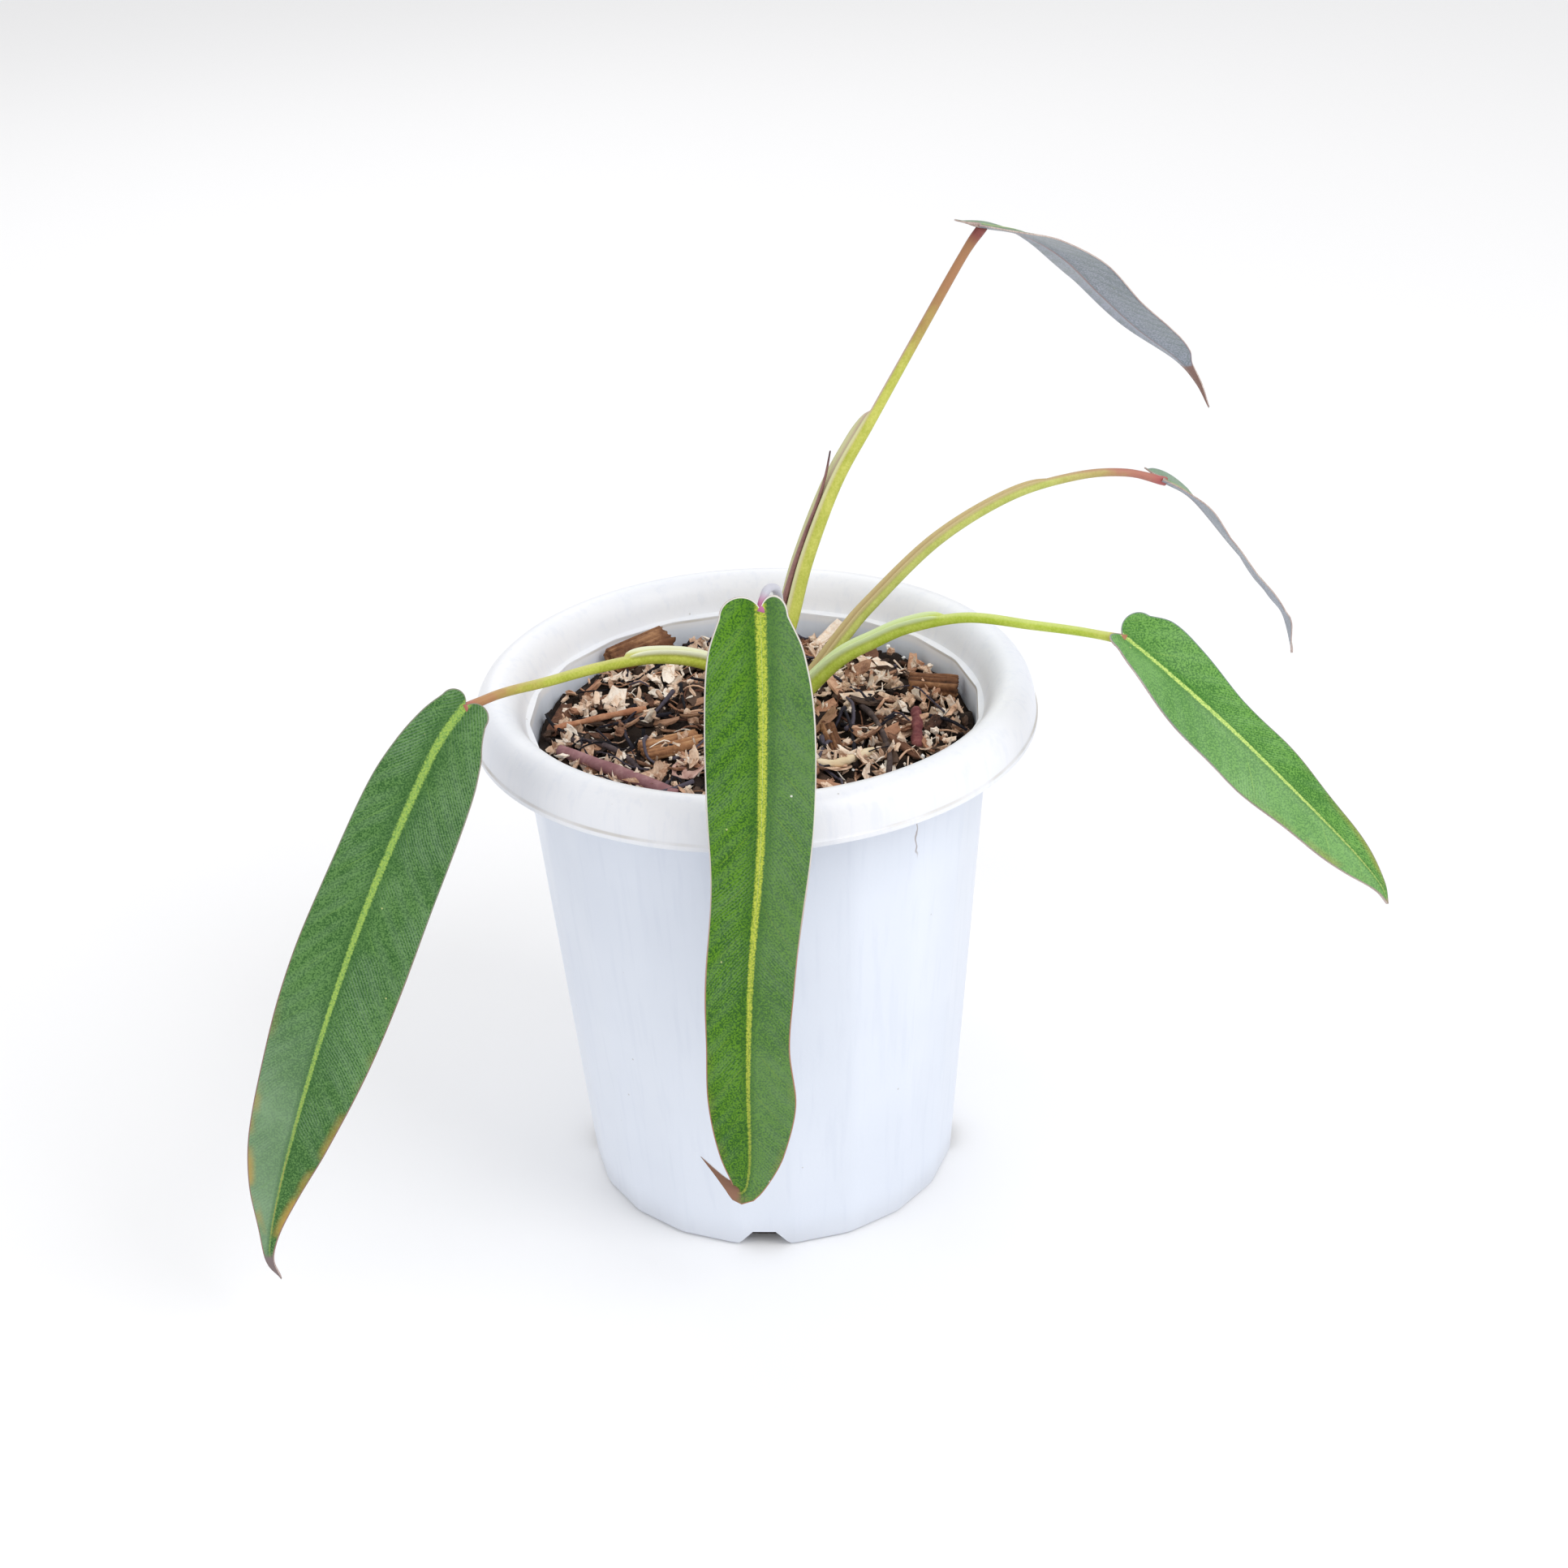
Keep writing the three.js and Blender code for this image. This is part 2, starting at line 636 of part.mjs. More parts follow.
function stick({ path, radii }, grow = 0) {
  const [from, to] = radii;
  const knots = (t) => 1 + 0.12 * Math.sin(t * 17);
  return sweep({ path, radiusAt: (t) => mix(from, to, t) * knots(t), sides: 8, steps: 10, grow });
}

function scrap(grow = 0) {
  const rows = 6;
  const { at, length, width, turn, curl } = SCRAP;
  return sheet(rows, [-1, -0.5, 0, 0.5, 1], (row, across, side) => {
    const t = row / rows;
    const reach = width / 2 + grow;
    const wide = reach * (0.55 + 0.45 * Math.sin(Math.PI * (0.15 + 0.75 * t)));
    const rise = curl * across * across * (1 + t) + 0.5 * Math.sin(5 * t);
    return new THREE.Vector3(
      (t - 0.5) * (length + 2 * grow),
      wide * across,
      rise + side * (SCRAP.sheet + grow),
    );
  }).rotateZ(radians(turn)).translate(...at);
}

// Potting mix

function mixBody() {
  const side = (height) => {
    const share = (height - POT.floor) / (POT.innerTop - POT.floor);
    return mix(POT.innerFootRadius, POT.innerTopRadius, share) - GAP;
  };
  const profile = [
    [0, POT.floor + GAP],
    [side(0), POT.floor + GAP],
    [side(MIX.top), MIX.top - 1],
    ...MIX.rings.map((radius) => [radius, MIX.top]),
    [0, MIX.top],
  ];
  const body = lathe(profile, MIX.facets);
  const position = body.attributes.position;
  for (let i = 0; i < position.count; i++) {
    const [x, y, z] = [position.getX(i), position.getY(i), position.getZ(i)];
    const radius = Math.hypot(x, y);
    if (z < MIX.top - GAP || radius > MIX.rim) continue;
    const rough = Math.sin(x * 0.31 + 1) * Math.cos(y * 0.27) + 0.6 * Math.sin(x * 0.13 - y * 0.38);
    position.setZ(i, z + MIX.ripple * rough);
  }
  return panelled(body, (radius) => radius > side(0) - 1);
}

function chip(random) {
  const radius = MIX.chipSpread * Math.sqrt(random());
  const turn = random() * 2 * Math.PI;
  const size = mix(...MIX.chipLength, random() ** 1.6);
  return new THREE.IcosahedronGeometry(1, 0)
    .scale(size, size * mix(...MIX.chipWidth, random()), size * mix(...MIX.chipThickness, random()))
    .rotateX((random() - 0.5) * MIX.chipTilt)
    .rotateZ(random() * 2 * Math.PI)
    .translate(radius * Math.cos(turn), radius * Math.sin(turn), MIX.top + size * MIX.chipLift);
}

function pottingMix(cutters) {
  const random = draws(MIX.seed);
  const chips = Array.from({ length: MIX.chips }, () => solid(chip(random)));
  const roofs = notchTurns.map((turn) => {
    const grow = NOTCH.roof + GAP;
    const from = NOTCH.innerRadius - grow;
    return solid(notchBar(turn, grow, from, POT.footRadius + NOTCH.overrun, 1));
  });
  return without(joined([solid(mixBody()), ...chips]), [...roofs, ...cutters]);
}

// Assembly

function material(color, roughness, metalness = 0) {
  return new THREE.MeshStandardMaterial({ color, roughness, metalness });
}

const MATERIALS = {
  plastic: material('#eceef0', 0.4),
  mix: material('#6b5342', 0.95),
  bark: material('#5f4130', 0.9),
  stem: material('#8a6a4c', 0.75),
  petiole: material('#7f9a5c', 0.5),
  leaf: material('#3f6b45', 0.45),
  spike: material('#6b4650', 0.5),
  dry: material('#8d6f60', 0.85),
  root: material('#4a3830', 0.85),
  pale: material('#d8c9a0', 0.8),
};

const plant = new THREE.Group();

function add(name, geometry, look) {
  const mesh = new THREE.Mesh(geometry, look.clone());
  mesh.name = name;
  plant.add(mesh);
}

const grownPetioles = Object.values(LEAVES).map((leaf) => solid(petiole(leaf, GAP)));
const flat = Object.entries(SLABS);
const round = Object.entries(STICKS);

add('pot', geometryOf(pot()), MATERIALS.plastic);

const seats = [
  stem(GAP),
  ...grownPetioles,
  ...flat.map(([, piece], k) => solid(slab(piece, k + 1, GAP))),
  ...round.map(([, piece]) => solid(stick(piece, GAP))),
  solid(scrap(GAP)),
];
add('potting_mix', geometryOf(pottingMix(seats)), MATERIALS.mix);

add('stem', geometryOf(without(stem(), grownPetioles)), MATERIALS.stem);

for (const [name, leaf] of Object.entries(LEAVES)) {
  const cutters = [solid(blade(leaf, GAP))];
  if (name === 'tall') cutters.push(solid(spike(GAP)));
  add(`petiole_${name}`, geometryOf(without(solid(petiole(leaf)), cutters)), MATERIALS.petiole);
  add(`leaf_${name}`, blade(leaf), MATERIALS.leaf);
}
add('new_leaf', spike(), MATERIALS.spike);

flat.forEach(([name, piece], k) => add(name, closed(slab(piece, k + 1)), MATERIALS.bark));
for (const [name, piece] of round) {
  const look = { pale_root: MATERIALS.pale, old_petiole: MATERIALS.dry }[name] ?? MATERIALS.root;
  add(name, stick(piece), look);
}
add('dry_scrap', scrap(), MATERIALS.dry);

export default plant;
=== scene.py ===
import math
import random

import bmesh
import bpy
from mathutils import Euler, Matrix, Vector, noise


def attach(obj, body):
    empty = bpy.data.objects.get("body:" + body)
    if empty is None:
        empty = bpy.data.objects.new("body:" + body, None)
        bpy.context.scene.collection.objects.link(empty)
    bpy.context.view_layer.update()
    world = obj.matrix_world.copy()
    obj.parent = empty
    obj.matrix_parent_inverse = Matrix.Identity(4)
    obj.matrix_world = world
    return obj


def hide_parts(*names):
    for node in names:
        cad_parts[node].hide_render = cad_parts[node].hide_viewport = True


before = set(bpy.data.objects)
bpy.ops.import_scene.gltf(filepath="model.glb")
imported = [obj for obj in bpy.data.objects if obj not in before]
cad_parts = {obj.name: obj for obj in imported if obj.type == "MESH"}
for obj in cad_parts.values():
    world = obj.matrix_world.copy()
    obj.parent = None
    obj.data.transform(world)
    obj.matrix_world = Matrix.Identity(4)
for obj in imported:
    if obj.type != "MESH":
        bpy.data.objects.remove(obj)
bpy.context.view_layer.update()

# A young philodendron with five long drooping leaves, in a white nursery pot full of bark mix.
# Lengths are written in millimetres, as in the solids, and MM turns them into metres.

noise.seed_set(5)  # noise_vector would start from the clock without it
MM = 0.001
UP = Vector((0, 0, 1))

# Camera and light

CAMERA_AIM = (7.7, 0, 130)
CAMERA_DISTANCE = 778
CAMERA_RISE = 28.35
CAMERA_ROLL = -2.36
LENS = 58.92
LIGHT_AIM = (0, 0, 0.15)

# Pot

PANELS = 20
PANEL_CORNER = 7.9
POT_STEPS = 240
POT_TURN = -4
POT_FOOT = 57.9
POT_WALL_TOP = 70.4
LIP_FOOT = 154.5
POT_FLOOR = 2.2
NOTCH_COUNT = 4
NOTCH_FOOT = 17
NOTCH_TOP = 7
NOTCH_HEIGHT = 5.3
NOTCH_INNER = 38
NOTCH_ROOF = 2
DRAIN_RADIUS = 3.2
DRAIN_DEPTH = 24
DRAIN_AT = 46

# Marks on the plastic, in metres: the seam round the lip, and where the hairline crack under the lip
# runs and fades out.

SEAM_HEIGHT = 0.15635
CRACK_X = 0.0448
CRACK_FOOT = (0.131, 0.136)
CRACK_HEAD = (0.150, 0.154)

# Potting mix

MIX_TOP = 149.6
MIX_RADIUS = 65.6
MIX_RIPPLE = 1.3

# Stem and roots

STEM_AT = (3.5, 0)
STEM_RADIUS = 8.2
ROOT_RADIUS = 2.1
ROOTS = [
    [(3, 0, 140), (-8, -4, 150), (-15, -6, 147), (-21, -7, 138)],
    [(4, 0, 140), (12, -9, 151), (15, -17, 150), (16, -24, 141)],
    [(4, 0, 140), (14, 6, 151), (21, 9, 149), (26, 12, 139)],
    [(3, 0, 140), (-3, 10, 151), (-6, 17, 149), (-8, 23, 139)],
]

# Blades and stalks

BLADE_ROWS = 170
BLADE_COLUMNS = 44
LOBE_SHARE = 0.14
FOLD_END = 0.35
BLADE_THICK = 1.5
BLADE_EDGE = 0.3
RIB_WIDTH = 1.7
VEIN_STEP = 15.0
BLADE_RELIEF = 0.22
STALK_SIDES = 72
STALK_RINGS = 110
WING_ANGLE = 32
CHANNEL_DEPTH = 0.35
STALK_RELIEF = 0.15
TUBE_LAYERS = ("share", "turn", "wing", "tone")

# Each leaf: the stalk's path and the midrib's, then the ways the upper side looks, evenly spaced from
# base to tip, and rows of a share of the midrib with the half widths to its left and right there.
# sheath is the share of the stalk that has wings, and wave holds a height, a count and two phases.

LEAVES = {
    "left": {
        "petiole": [
            (-1.8, -1.6, 152.5), (-7.5, -5, 168), (-14.5, -9, 176), (-28, -18, 182.5), (-43, -30, 186),
            (-57, -42, 188), (-69, -52, 189.8), (-78.5, -60, 189.5),
        ],
        "radii": (2.1, 1.25), "sheath": 0.5, "wing": (1.1, 1.1), "channel": (-0.3, -0.2, 1),
        "midrib": [
            (-78.5, -60, 189.5), (-84, -63, 183.5), (-91, -66, 172), (-108, -74, 139), (-124, -82, 102),
            (-139, -90, 61), (-146, -94, 35), (-143.5, -96, 26),
        ],
        "face": [(-0.1, -0.9, 0.4), (0, -0.95, 0.25), (-0.1, -0.95, 0.25)],
        "outline": [
            (0, 6.8, 8), (0.06, 9.6, 13.6), (0.15, 12.6, 16.2), (0.3, 13.5, 17.2), (0.45, 14.8, 17.4),
            (0.6, 14.2, 15.4), (0.75, 12.3, 10.4), (0.84, 8.8, 6), (0.92, 3.4, 2.3), (1, 0, 0),
        ],
        "lobes": (3.6, 4), "fold": (0.2, 0.06), "wave": (0.8, 4, 0.1, 0.55),
    },
    "front": {
        "petiole": [
            (3.3, -5, 152.5), (5, -14, 163), (6.5, -30, 182), (8.2, -52, 204), (8.4, -70, 221),
            (7.6, -79.5, 230), (5.2, -85, 232), (3.5, -88.4, 227.6),
        ],
        "radii": (2.2, 1.05), "sheath": 0.4, "wing": (0.85, 0.85), "channel": (0, 0.6, 0.8),
        "midrib": [
            (3.5, -88.4, 227), (3.3, -91, 214), (2.8, -93, 196), (0.7, -95.5, 161), (-3.4, -97, 124),
            (-5.6, -97.3, 90), (-6.4, -97, 62), (-8.6, -96, 50.5), (-13, -94.5, 52), (-20.4, -92, 60.5),
        ],
        "face": [(0, -0.9, 0.4), (0, -0.9, 0.3), (0.05, -0.9, 0.4)],
        "outline": [
            (0, 10.6, 7), (0.05, 13.9, 11), (0.14, 15.2, 13.5), (0.28, 14.5, 14), (0.42, 12.4, 12.7),
            (0.56, 12.3, 12), (0.65, 11.7, 11.4), (0.75, 11.2, 13.3), (0.84, 8.4, 9.8), (0.9, 4.2, 5),
            (0.94, 1.5, 1.5), (1, 0, 0),
        ],
        "lobes": (5, 5.2), "fold": (0.24, 0.08), "wave": (1.2, 3.5, 0.3, 0.85),
    },
    "right": {
        "petiole": [
            (8.2, -1.4, 152.5), (13, -3.2, 159.5), (25, -8, 174), (36, -12, 182), (46, -16, 188),
            (61.5, -24, 194), (79, -33, 195), (92, -39.5, 195.4), (103.6, -45.6, 195.2),
        ],
        "radii": (2.1, 1.2), "sheath": 0.54, "wing": (1.1, 1.1), "channel": (-0.2, 0, 1),
        "midrib": [
            (103.6, -45.6, 195), (113, -52, 188.5), (129, -62, 176), (144.5, -71, 162), (160, -81, 147.5),
            (168, -86.5, 138.5), (170.5, -88.5, 133),
        ],
        "face": [(0.3, -0.48, 0.83), (0.36, -0.54, 0.76), (0.46, -0.46, 0.76)],
        "outline": [
            (0, 6.4, 9), (0.06, 9.6, 12), (0.16, 11.8, 12.8), (0.3, 12.8, 12.4), (0.45, 12.8, 11.6),
            (0.6, 11.6, 10.4), (0.75, 9.7, 8.6), (0.86, 6.6, 6.2), (0.95, 2.2, 2.6), (1, 0, 0),
        ],
        "lobes": (4, 4.4), "fold": (0.42, -0.1), "wave": (0.6, 3, 0.2, 0.6),
    },
    "upright": {
        "petiole": [
            (7, 3.6, 152.5), (18, 8.5, 161.5), (27, 14, 171), (36, 20, 179), (57, 32, 194), (80, 43, 203),
            (101, 51, 205.5), (117, 56, 204), (130, 60, 199),
        ],
        "radii": (2.1, 1.2), "sheath": 0.725, "wing": (0.7, 0.7), "channel": (-0.3, 0, 1),
        "midrib": [
            (130, 60, 199), (141, 72, 188), (156.5, 90, 165), (166, 100, 151), (175, 110, 136),
            (182, 118, 125), (187, 126, 110), (188, 128, 105),
        ],
        "face": [
            (0.53, 0.25, 0.81), (0.77, 0.13, 0.62), (0.77, 0.12, 0.62), (0.75, 0.14, 0.65),
            (0.98, -0.15, 0.1),
        ],
        "outline": [
            (0, 8, 8), (0.06, 11, 11), (0.16, 12.4, 12.4), (0.35, 12.6, 12.6), (0.55, 11.6, 11.6),
            (0.75, 8.6, 8.6), (0.88, 4.6, 4.6), (0.96, 1.4, 1.4), (1, 0, 0),
        ],
        "lobes": (5, 5), "fold": (0.06, 0.03), "wave": (0.3, 3, 0.3, 0.7),
    },
    "tall": {
        "petiole": [
            (1.6, 5, 152.5), (7, 7.8, 166), (12, 12, 179), (17.5, 20, 195), (27, 32, 214), (38, 43, 229),
            (53, 56, 250), (68, 66, 272), (74, 68.5, 279.6),
        ],
        "radii": (2.3, 1.35), "sheath": 0.6, "wing": (0.5, 1.6), "channel": (-1, 0.1, 0.35),
        "midrib": [
            (74.4, 68.4, 279.6), (88, 88, 271), (103, 108, 257), (118, 128, 238), (133, 146, 220),
            (150, 161, 203), (158, 167.5, 192), (163, 172, 181),
        ],
        "face": [(0.23, 0.25, 0.94), (0.46, 0.4, 0.79), (0.45, 0.74, 0.5)],
        "outline": [
            (0, 8, 8.4), (0.06, 11.4, 11), (0.16, 13.2, 12.6), (0.35, 14, 13), (0.55, 14.2, 11.4),
            (0.7, 12, 7.6), (0.8, 7.8, 4.2), (0.86, 3, 2.2), (0.93, 1, 1), (1, 0, 0),
        ],
        "lobes": (7.5, 8.5), "fold": (0.02, 0.13), "wave": (0.3, 3, 0.15, 0.65),
    },
}

NEW_LEAF_PATH = [
    (5.2, 9.3, 170), (9.7, 14, 183.2), (13.3, 18.8, 192.7), (17.4, 24.2, 201.8), (20.9, 28.5, 208.8),
    (23.8, 33, 215.9), (25.6, 37, 222.4),
]

SLABS = {
    "bark_back": ((-36, 46, 155), (22, 9, 5.5), (12, -6, 33)),
    "bark_right": ((54.3, 16, 153.4), (15.5, 6.5, 4.8), (8, 5, -6)),
    "bark_flat": ((-25, -12.5, 151.2), (19, 8.5, 3), (4, 0, 22)),
    "bark_strip": ((22.5, -14, 151.2), (4.6, 18, 3), (3, -5, 8)),
}

STICKS = {
    "old_petiole": (
        [(-57.6, -16, 153), (-47.7, -24.5, 153), (-35.6, -34.1, 152.4), (-23, -44.5, 151.4)], (1.6, 2.3),
        "old_stalk",
    ),
    "red_stick": ([(48, 1, 152.6), (47.8, -9, 153), (47, -20.6, 152)], (1.5, 1.7), "old_stalk"),
    "pale_root": (
        [(16.5, -28.5, 151.6), (22.9, -30.2, 152.4), (29, -26.5, 152.4), (34, -21, 151.4)], (1.4, 1.1),
        "pale_root",
    ),
    "pink_twig": ([(-60, -1.5, 152.8), (-46.5, 4.2, 153), (-33.3, 11.2, 151.8)], (0.9, 1), "old_stalk"),
    "root_left": (
        [(-54.5, -8, 152), (-46, -12, 152.4), (-39, -19, 152.2), (-34, -27, 151.2)], (0.8, 0.9), "root",
    ),
    "root_right": (
        [(32, 8, 151.4), (34.9, -1.1, 152.6), (37.4, -14, 152.8), (38.6, -27, 152.4), (37, -44, 151.2)],
        (0.9, 0.8), "root",
    ),
}

# Looks. Each colour is as seen on screen, 0 to 255.

# Left and Right Painted Sheen are the shares of painted sheen on each half of a blade, standing in for
# how the light falls on it, from Painted Sheen From along the blade.
UPPER = {
    "left": {
        "Dark": (44, 92, 34), "Light": (92, 136, 70), "Stripe And Painted Sheen": (142, 170, 140), "Left Painted Sheen": 0.8,
        "Painted Sheen From": 0.45, "Rib": (158, 190, 84), "Vein": (122, 166, 80), "Vein Share": 0.45,
        "Margin": (136, 140, 120), "Margin Low": (150, 116, 108), "Dry": (126, 112, 112),
        "Dry From": 0.955, "Yellowing": 0.9,
    },
    "front": {
        "Dark": (32, 86, 0), "Light": (88, 140, 8), "Stripe And Painted Sheen": (112, 142, 106), "Right Painted Sheen": 0.36,
        "Rib": (190, 200, 70), "Rib Width": 1.75, "Vein": (140, 166, 48), "Vein Share": 0.22,
        "Bands": 0.14, "Margin": (232, 228, 222), "Margin Low": (176, 122, 100), "Dry": (142, 104, 84),
        "Dry From": 0.918, "Yellowing": 0.12,
    },
    "right": {
        "Dark": (52, 112, 28), "Light": (106, 162, 66), "Stripe And Painted Sheen": (142, 186, 128), "Left Painted Sheen": 0.38,
        "Rib": (202, 224, 120), "Rib Width": 1.0, "Vein": (156, 196, 92), "Vein Share": 0.4,
        "Margin": (128, 146, 136), "Margin Low": (146, 142, 126), "Dry": (146, 132, 110),
        "Dry From": 0.985, "Yellowing": 0.35,
    },
    "upright": {
        "Dark": (70, 112, 70), "Light": (110, 148, 106), "Stripe And Painted Sheen": (140, 168, 150), "Left Painted Sheen": 0.3,
        "Right Painted Sheen": 0.3, "Rib": (166, 184, 88), "Rib Width": 1.2, "Vein": (126, 166, 92),
        "Margin": (140, 150, 158), "Margin Low": (140, 150, 158), "Dry": (146, 104, 100),
        "Dry From": 0.975, "Yellowing": 0.2,
    },
    "tall": {
        "Dark": (56, 100, 46), "Light": (100, 142, 82), "Stripe And Painted Sheen": (132, 162, 140), "Left Painted Sheen": 0.2,
        "Right Painted Sheen": 0.3, "Rib": (170, 188, 76), "Rib Width": 1.4, "Vein": (126, 166, 84),
        "Margin": (140, 132, 140), "Margin Low": (126, 104, 112), "Dry": (130, 100, 86), "Dry From": 0.86,
        "Yellowing": 0.3,
    },
}

# On the underside Stripe And Painted Sheen is the dark green-grey of its own stripes, and Left Painted
# Sheen lays a little of it over the left half as painted shade.
UNDER = {
    "Dark": (110, 122, 128), "Light": (162, 166, 184), "Stripe And Painted Sheen": (92, 110, 100), "Left Painted Sheen": 0.12,
    "Rib": (150, 110, 108), "Rib Width": 0.9, "Vein": (112, 104, 110), "Vein Share": 0.5, "Bands": 0.32,
    "Margin": (132, 132, 146), "Margin Low": (118, 106, 122), "Dry": (132, 100, 90), "Yellowing": 0.1,
}

STALKS = {
    "left": {
        "Dark": (158, 168, 44), "Light": (202, 208, 96), "Channel": (216, 206, 140),
        "Wing": (226, 228, 196), "Neck": (180, 132, 92), "Neck From": 0.74, "Line Share": 0.4,
        "Joint": (178, 112, 96),
    },
    "front": {
        "Dark": (168, 178, 66), "Light": (204, 208, 120), "Channel": (216, 206, 210),
        "Wing": (214, 218, 190), "Neck": (196, 196, 206), "Neck From": 0.66, "Line Share": 0.6,
        "Joint": (188, 112, 154),
    },
    "right": {
        "Dark": (164, 188, 42), "Light": (208, 220, 104), "Channel": (218, 226, 150),
        "Wing": (216, 232, 176), "Neck": (190, 176, 100), "Neck From": 0.88, "Line Share": 0.45,
        "Joint": (176, 120, 90),
    },
    "upright": {
        "Dark": (164, 174, 74), "Light": (200, 204, 116), "Channel": (196, 164, 130),
        "Wing": (198, 182, 132), "Neck": (180, 118, 104), "Neck From": 0.72, "Line Share": 0.75,
        "Joint": (178, 100, 98), "Wing Share": 0.6,
    },
    "tall": {
        "Dark": (168, 176, 62), "Light": (208, 208, 106), "Channel": (196, 166, 162),
        "Wing": (206, 208, 156), "Neck": (170, 124, 88), "Neck From": 0.66, "Line Share": 0.85,
        "Joint": (156, 88, 82), "Wing Share": 0.85,
    },
}

NEW_LEAF_LOOK = {
    "Dark": (112, 74, 72), "Light": (150, 110, 104), "Channel": (172, 140, 134), "Wing": (150, 110, 104),
    "Neck": (84, 62, 66), "Neck From": 0.82, "Joint": (84, 62, 66),
}

# Dry finishes: a dark, middle and light colour, the scale of the grain and the strength of its relief.

DRY = {
    "dark mix": ((18, 12, 10), (44, 32, 25), (92, 70, 52), 700.0, 1.0),
    "pale husk": ((164, 122, 96), (236, 206, 180), (255, 244, 230), 900.0, 0.8),
    "tan bark": ((98, 64, 50), (180, 132, 104), (226, 186, 156), 600.0, 0.9),
    "brown bark": ((42, 27, 22), (116, 80, 62), (180, 138, 110), 600.0, 1.0),
    "wet bark": ((18, 13, 12), (48, 36, 32), (92, 72, 60), 600.0, 1.0),
    "perlite": ((224, 218, 208), (244, 240, 234), (252, 252, 250), 900.0, 0.4),
    "black twig": ((18, 17, 24), (40, 37, 48), (84, 78, 90), 600.0, 0.6),
    "slab bark": ((46, 28, 18), (112, 74, 50), (172, 128, 92), 420.0, 1.0),
    "flat bark": ((96, 62, 42), (166, 118, 82), (206, 162, 120), 420.0, 0.7),
    "stem bark": ((70, 54, 34), (128, 106, 62), (170, 150, 96), 420.0, 0.7),
    "dry leaf": ((120, 70, 62), (206, 168, 156), (236, 214, 202), 260.0, 0.7),
    "dry old_petiole": ((88, 56, 60), (142, 100, 104), (184, 146, 146), 260.0, 0.5),
    "dry red_stick": ((52, 22, 26), (104, 52, 56), (158, 100, 96), 520.0, 0.5),
    "dry pink_twig": ((120, 72, 52), (176, 120, 90), (210, 162, 128), 520.0, 0.5),
    "dry pale_root": ((176, 146, 112), (222, 200, 164), (240, 226, 200), 420.0, 0.5),
    "dry root_left": ((34, 28, 34), (62, 52, 56), (104, 90, 92), 500.0, 0.5),
    "dry root_right": ((36, 28, 32), (66, 54, 54), (112, 96, 90), 500.0, 0.5),
}


# Curves and small sums


def lerp(a, b, share):
    return a + (b - a) * share


def clamp(value, low=0, high=1):
    return min(high, max(low, value))


def smoothstep(value, low, high):
    share = clamp((value - low) / (high - low))
    return share * share * (3 - 2 * share)


def hump(away, width):
    """1 in the middle, falling off softly within about the width."""
    return math.exp(-(away / width) ** 2)


class Path:
    """A smooth line through its points, walked by its share of the length."""

    STEPS = 40
    REACH = 0.008  # how far to each side a tangent looks

    def __init__(self, points):
        points = [Vector(p) for p in points]
        ends = [2 * points[0] - points[1], *points, 2 * points[-1] - points[-2]]
        self.line = []
        for a, b, c, d in zip(ends, ends[1:], ends[2:], ends[3:]):
            for k in range(self.STEPS):
                s = k / self.STEPS
                self.line.append(0.5 * (
                    2 * b + (c - a) * s + (2 * a - 5 * b + 4 * c - d) * s ** 2
                    + (3 * b - a - 3 * c + d) * s ** 3
                ))
        self.line.append(points[-1])
        self.reach = [0]
        for a, b in zip(self.line, self.line[1:]):
            self.reach.append(self.reach[-1] + (b - a).length)
        self.length = self.reach[-1]

    def point(self, share):
        want = clamp(share) * self.length
        low, high = 0, len(self.reach) - 1
        while high - low > 1:
            middle = (low + high) // 2
            low, high = (middle, high) if self.reach[middle] <= want else (low, middle)
        part = (want - self.reach[low]) / (self.reach[high] - self.reach[low])
        return self.line[low].lerp(self.line[high], part)

    def tangent(self, share):
        return (self.point(share + self.REACH) - self.point(share - self.REACH)).normalized()


# Meshes and pieces


def square_to(direction, tangent):
    direction = Vector(direction)
    return (direction - tangent * direction.dot(tangent)).normalized()


def new_mesh(*layers):
    bm = bmesh.new()
    for key in layers:
        bm.verts.layers.float.new(key)
    return bm


def lay(bm, turn, at=(0, 0, 0)):
    """Turns a shape by three angles in degrees about the origin, then moves it."""
    spin = Euler([math.radians(angle) for angle in turn]).to_matrix()
    bmesh.ops.rotate(bm, verts=bm.verts, cent=(0, 0, 0), matrix=spin)
    bmesh.ops.translate(bm, verts=bm.verts, vec=Vector(at) * MM)


def link(name, bm, materials, smooth=True):
    mesh = bpy.data.meshes.new(name)
    bm.to_mesh(mesh)
    bm.free()
    for material in materials:
        mesh.materials.append(material)
    for polygon in mesh.polygons:
        polygon.use_smooth = smooth
    piece = bpy.data.objects.new(name, mesh)
    bpy.context.scene.collection.objects.link(piece)
    return piece


LOOSE = bpy.data.meshes.new("loose part")


def take_in(bm, part):
    """Adds a part that was made on its own, which stays quick however big the piece gets."""
    part.to_mesh(LOOSE)
    part.free()
    bm.from_mesh(LOOSE)


def thicken(piece, thickness):
    wall = piece.modifiers.new("wall", "SOLIDIFY")
    wall.thickness = thickness * MM
    wall.offset = 0
    return wall


def settle(piece, node=None):
    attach(piece, "root")
    if node:
        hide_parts(node)


# Shader building


def rgb(red, green, blue):
    """A colour as seen on screen, 0 to 255, as the linear value that a shader takes."""
    def linear(value):
        value /= 255
        return value / 12.92 if value <= 0.04045 else ((value + 0.055) / 1.055) ** 2.4
    return (linear(red), linear(green), linear(blue), 1.0)


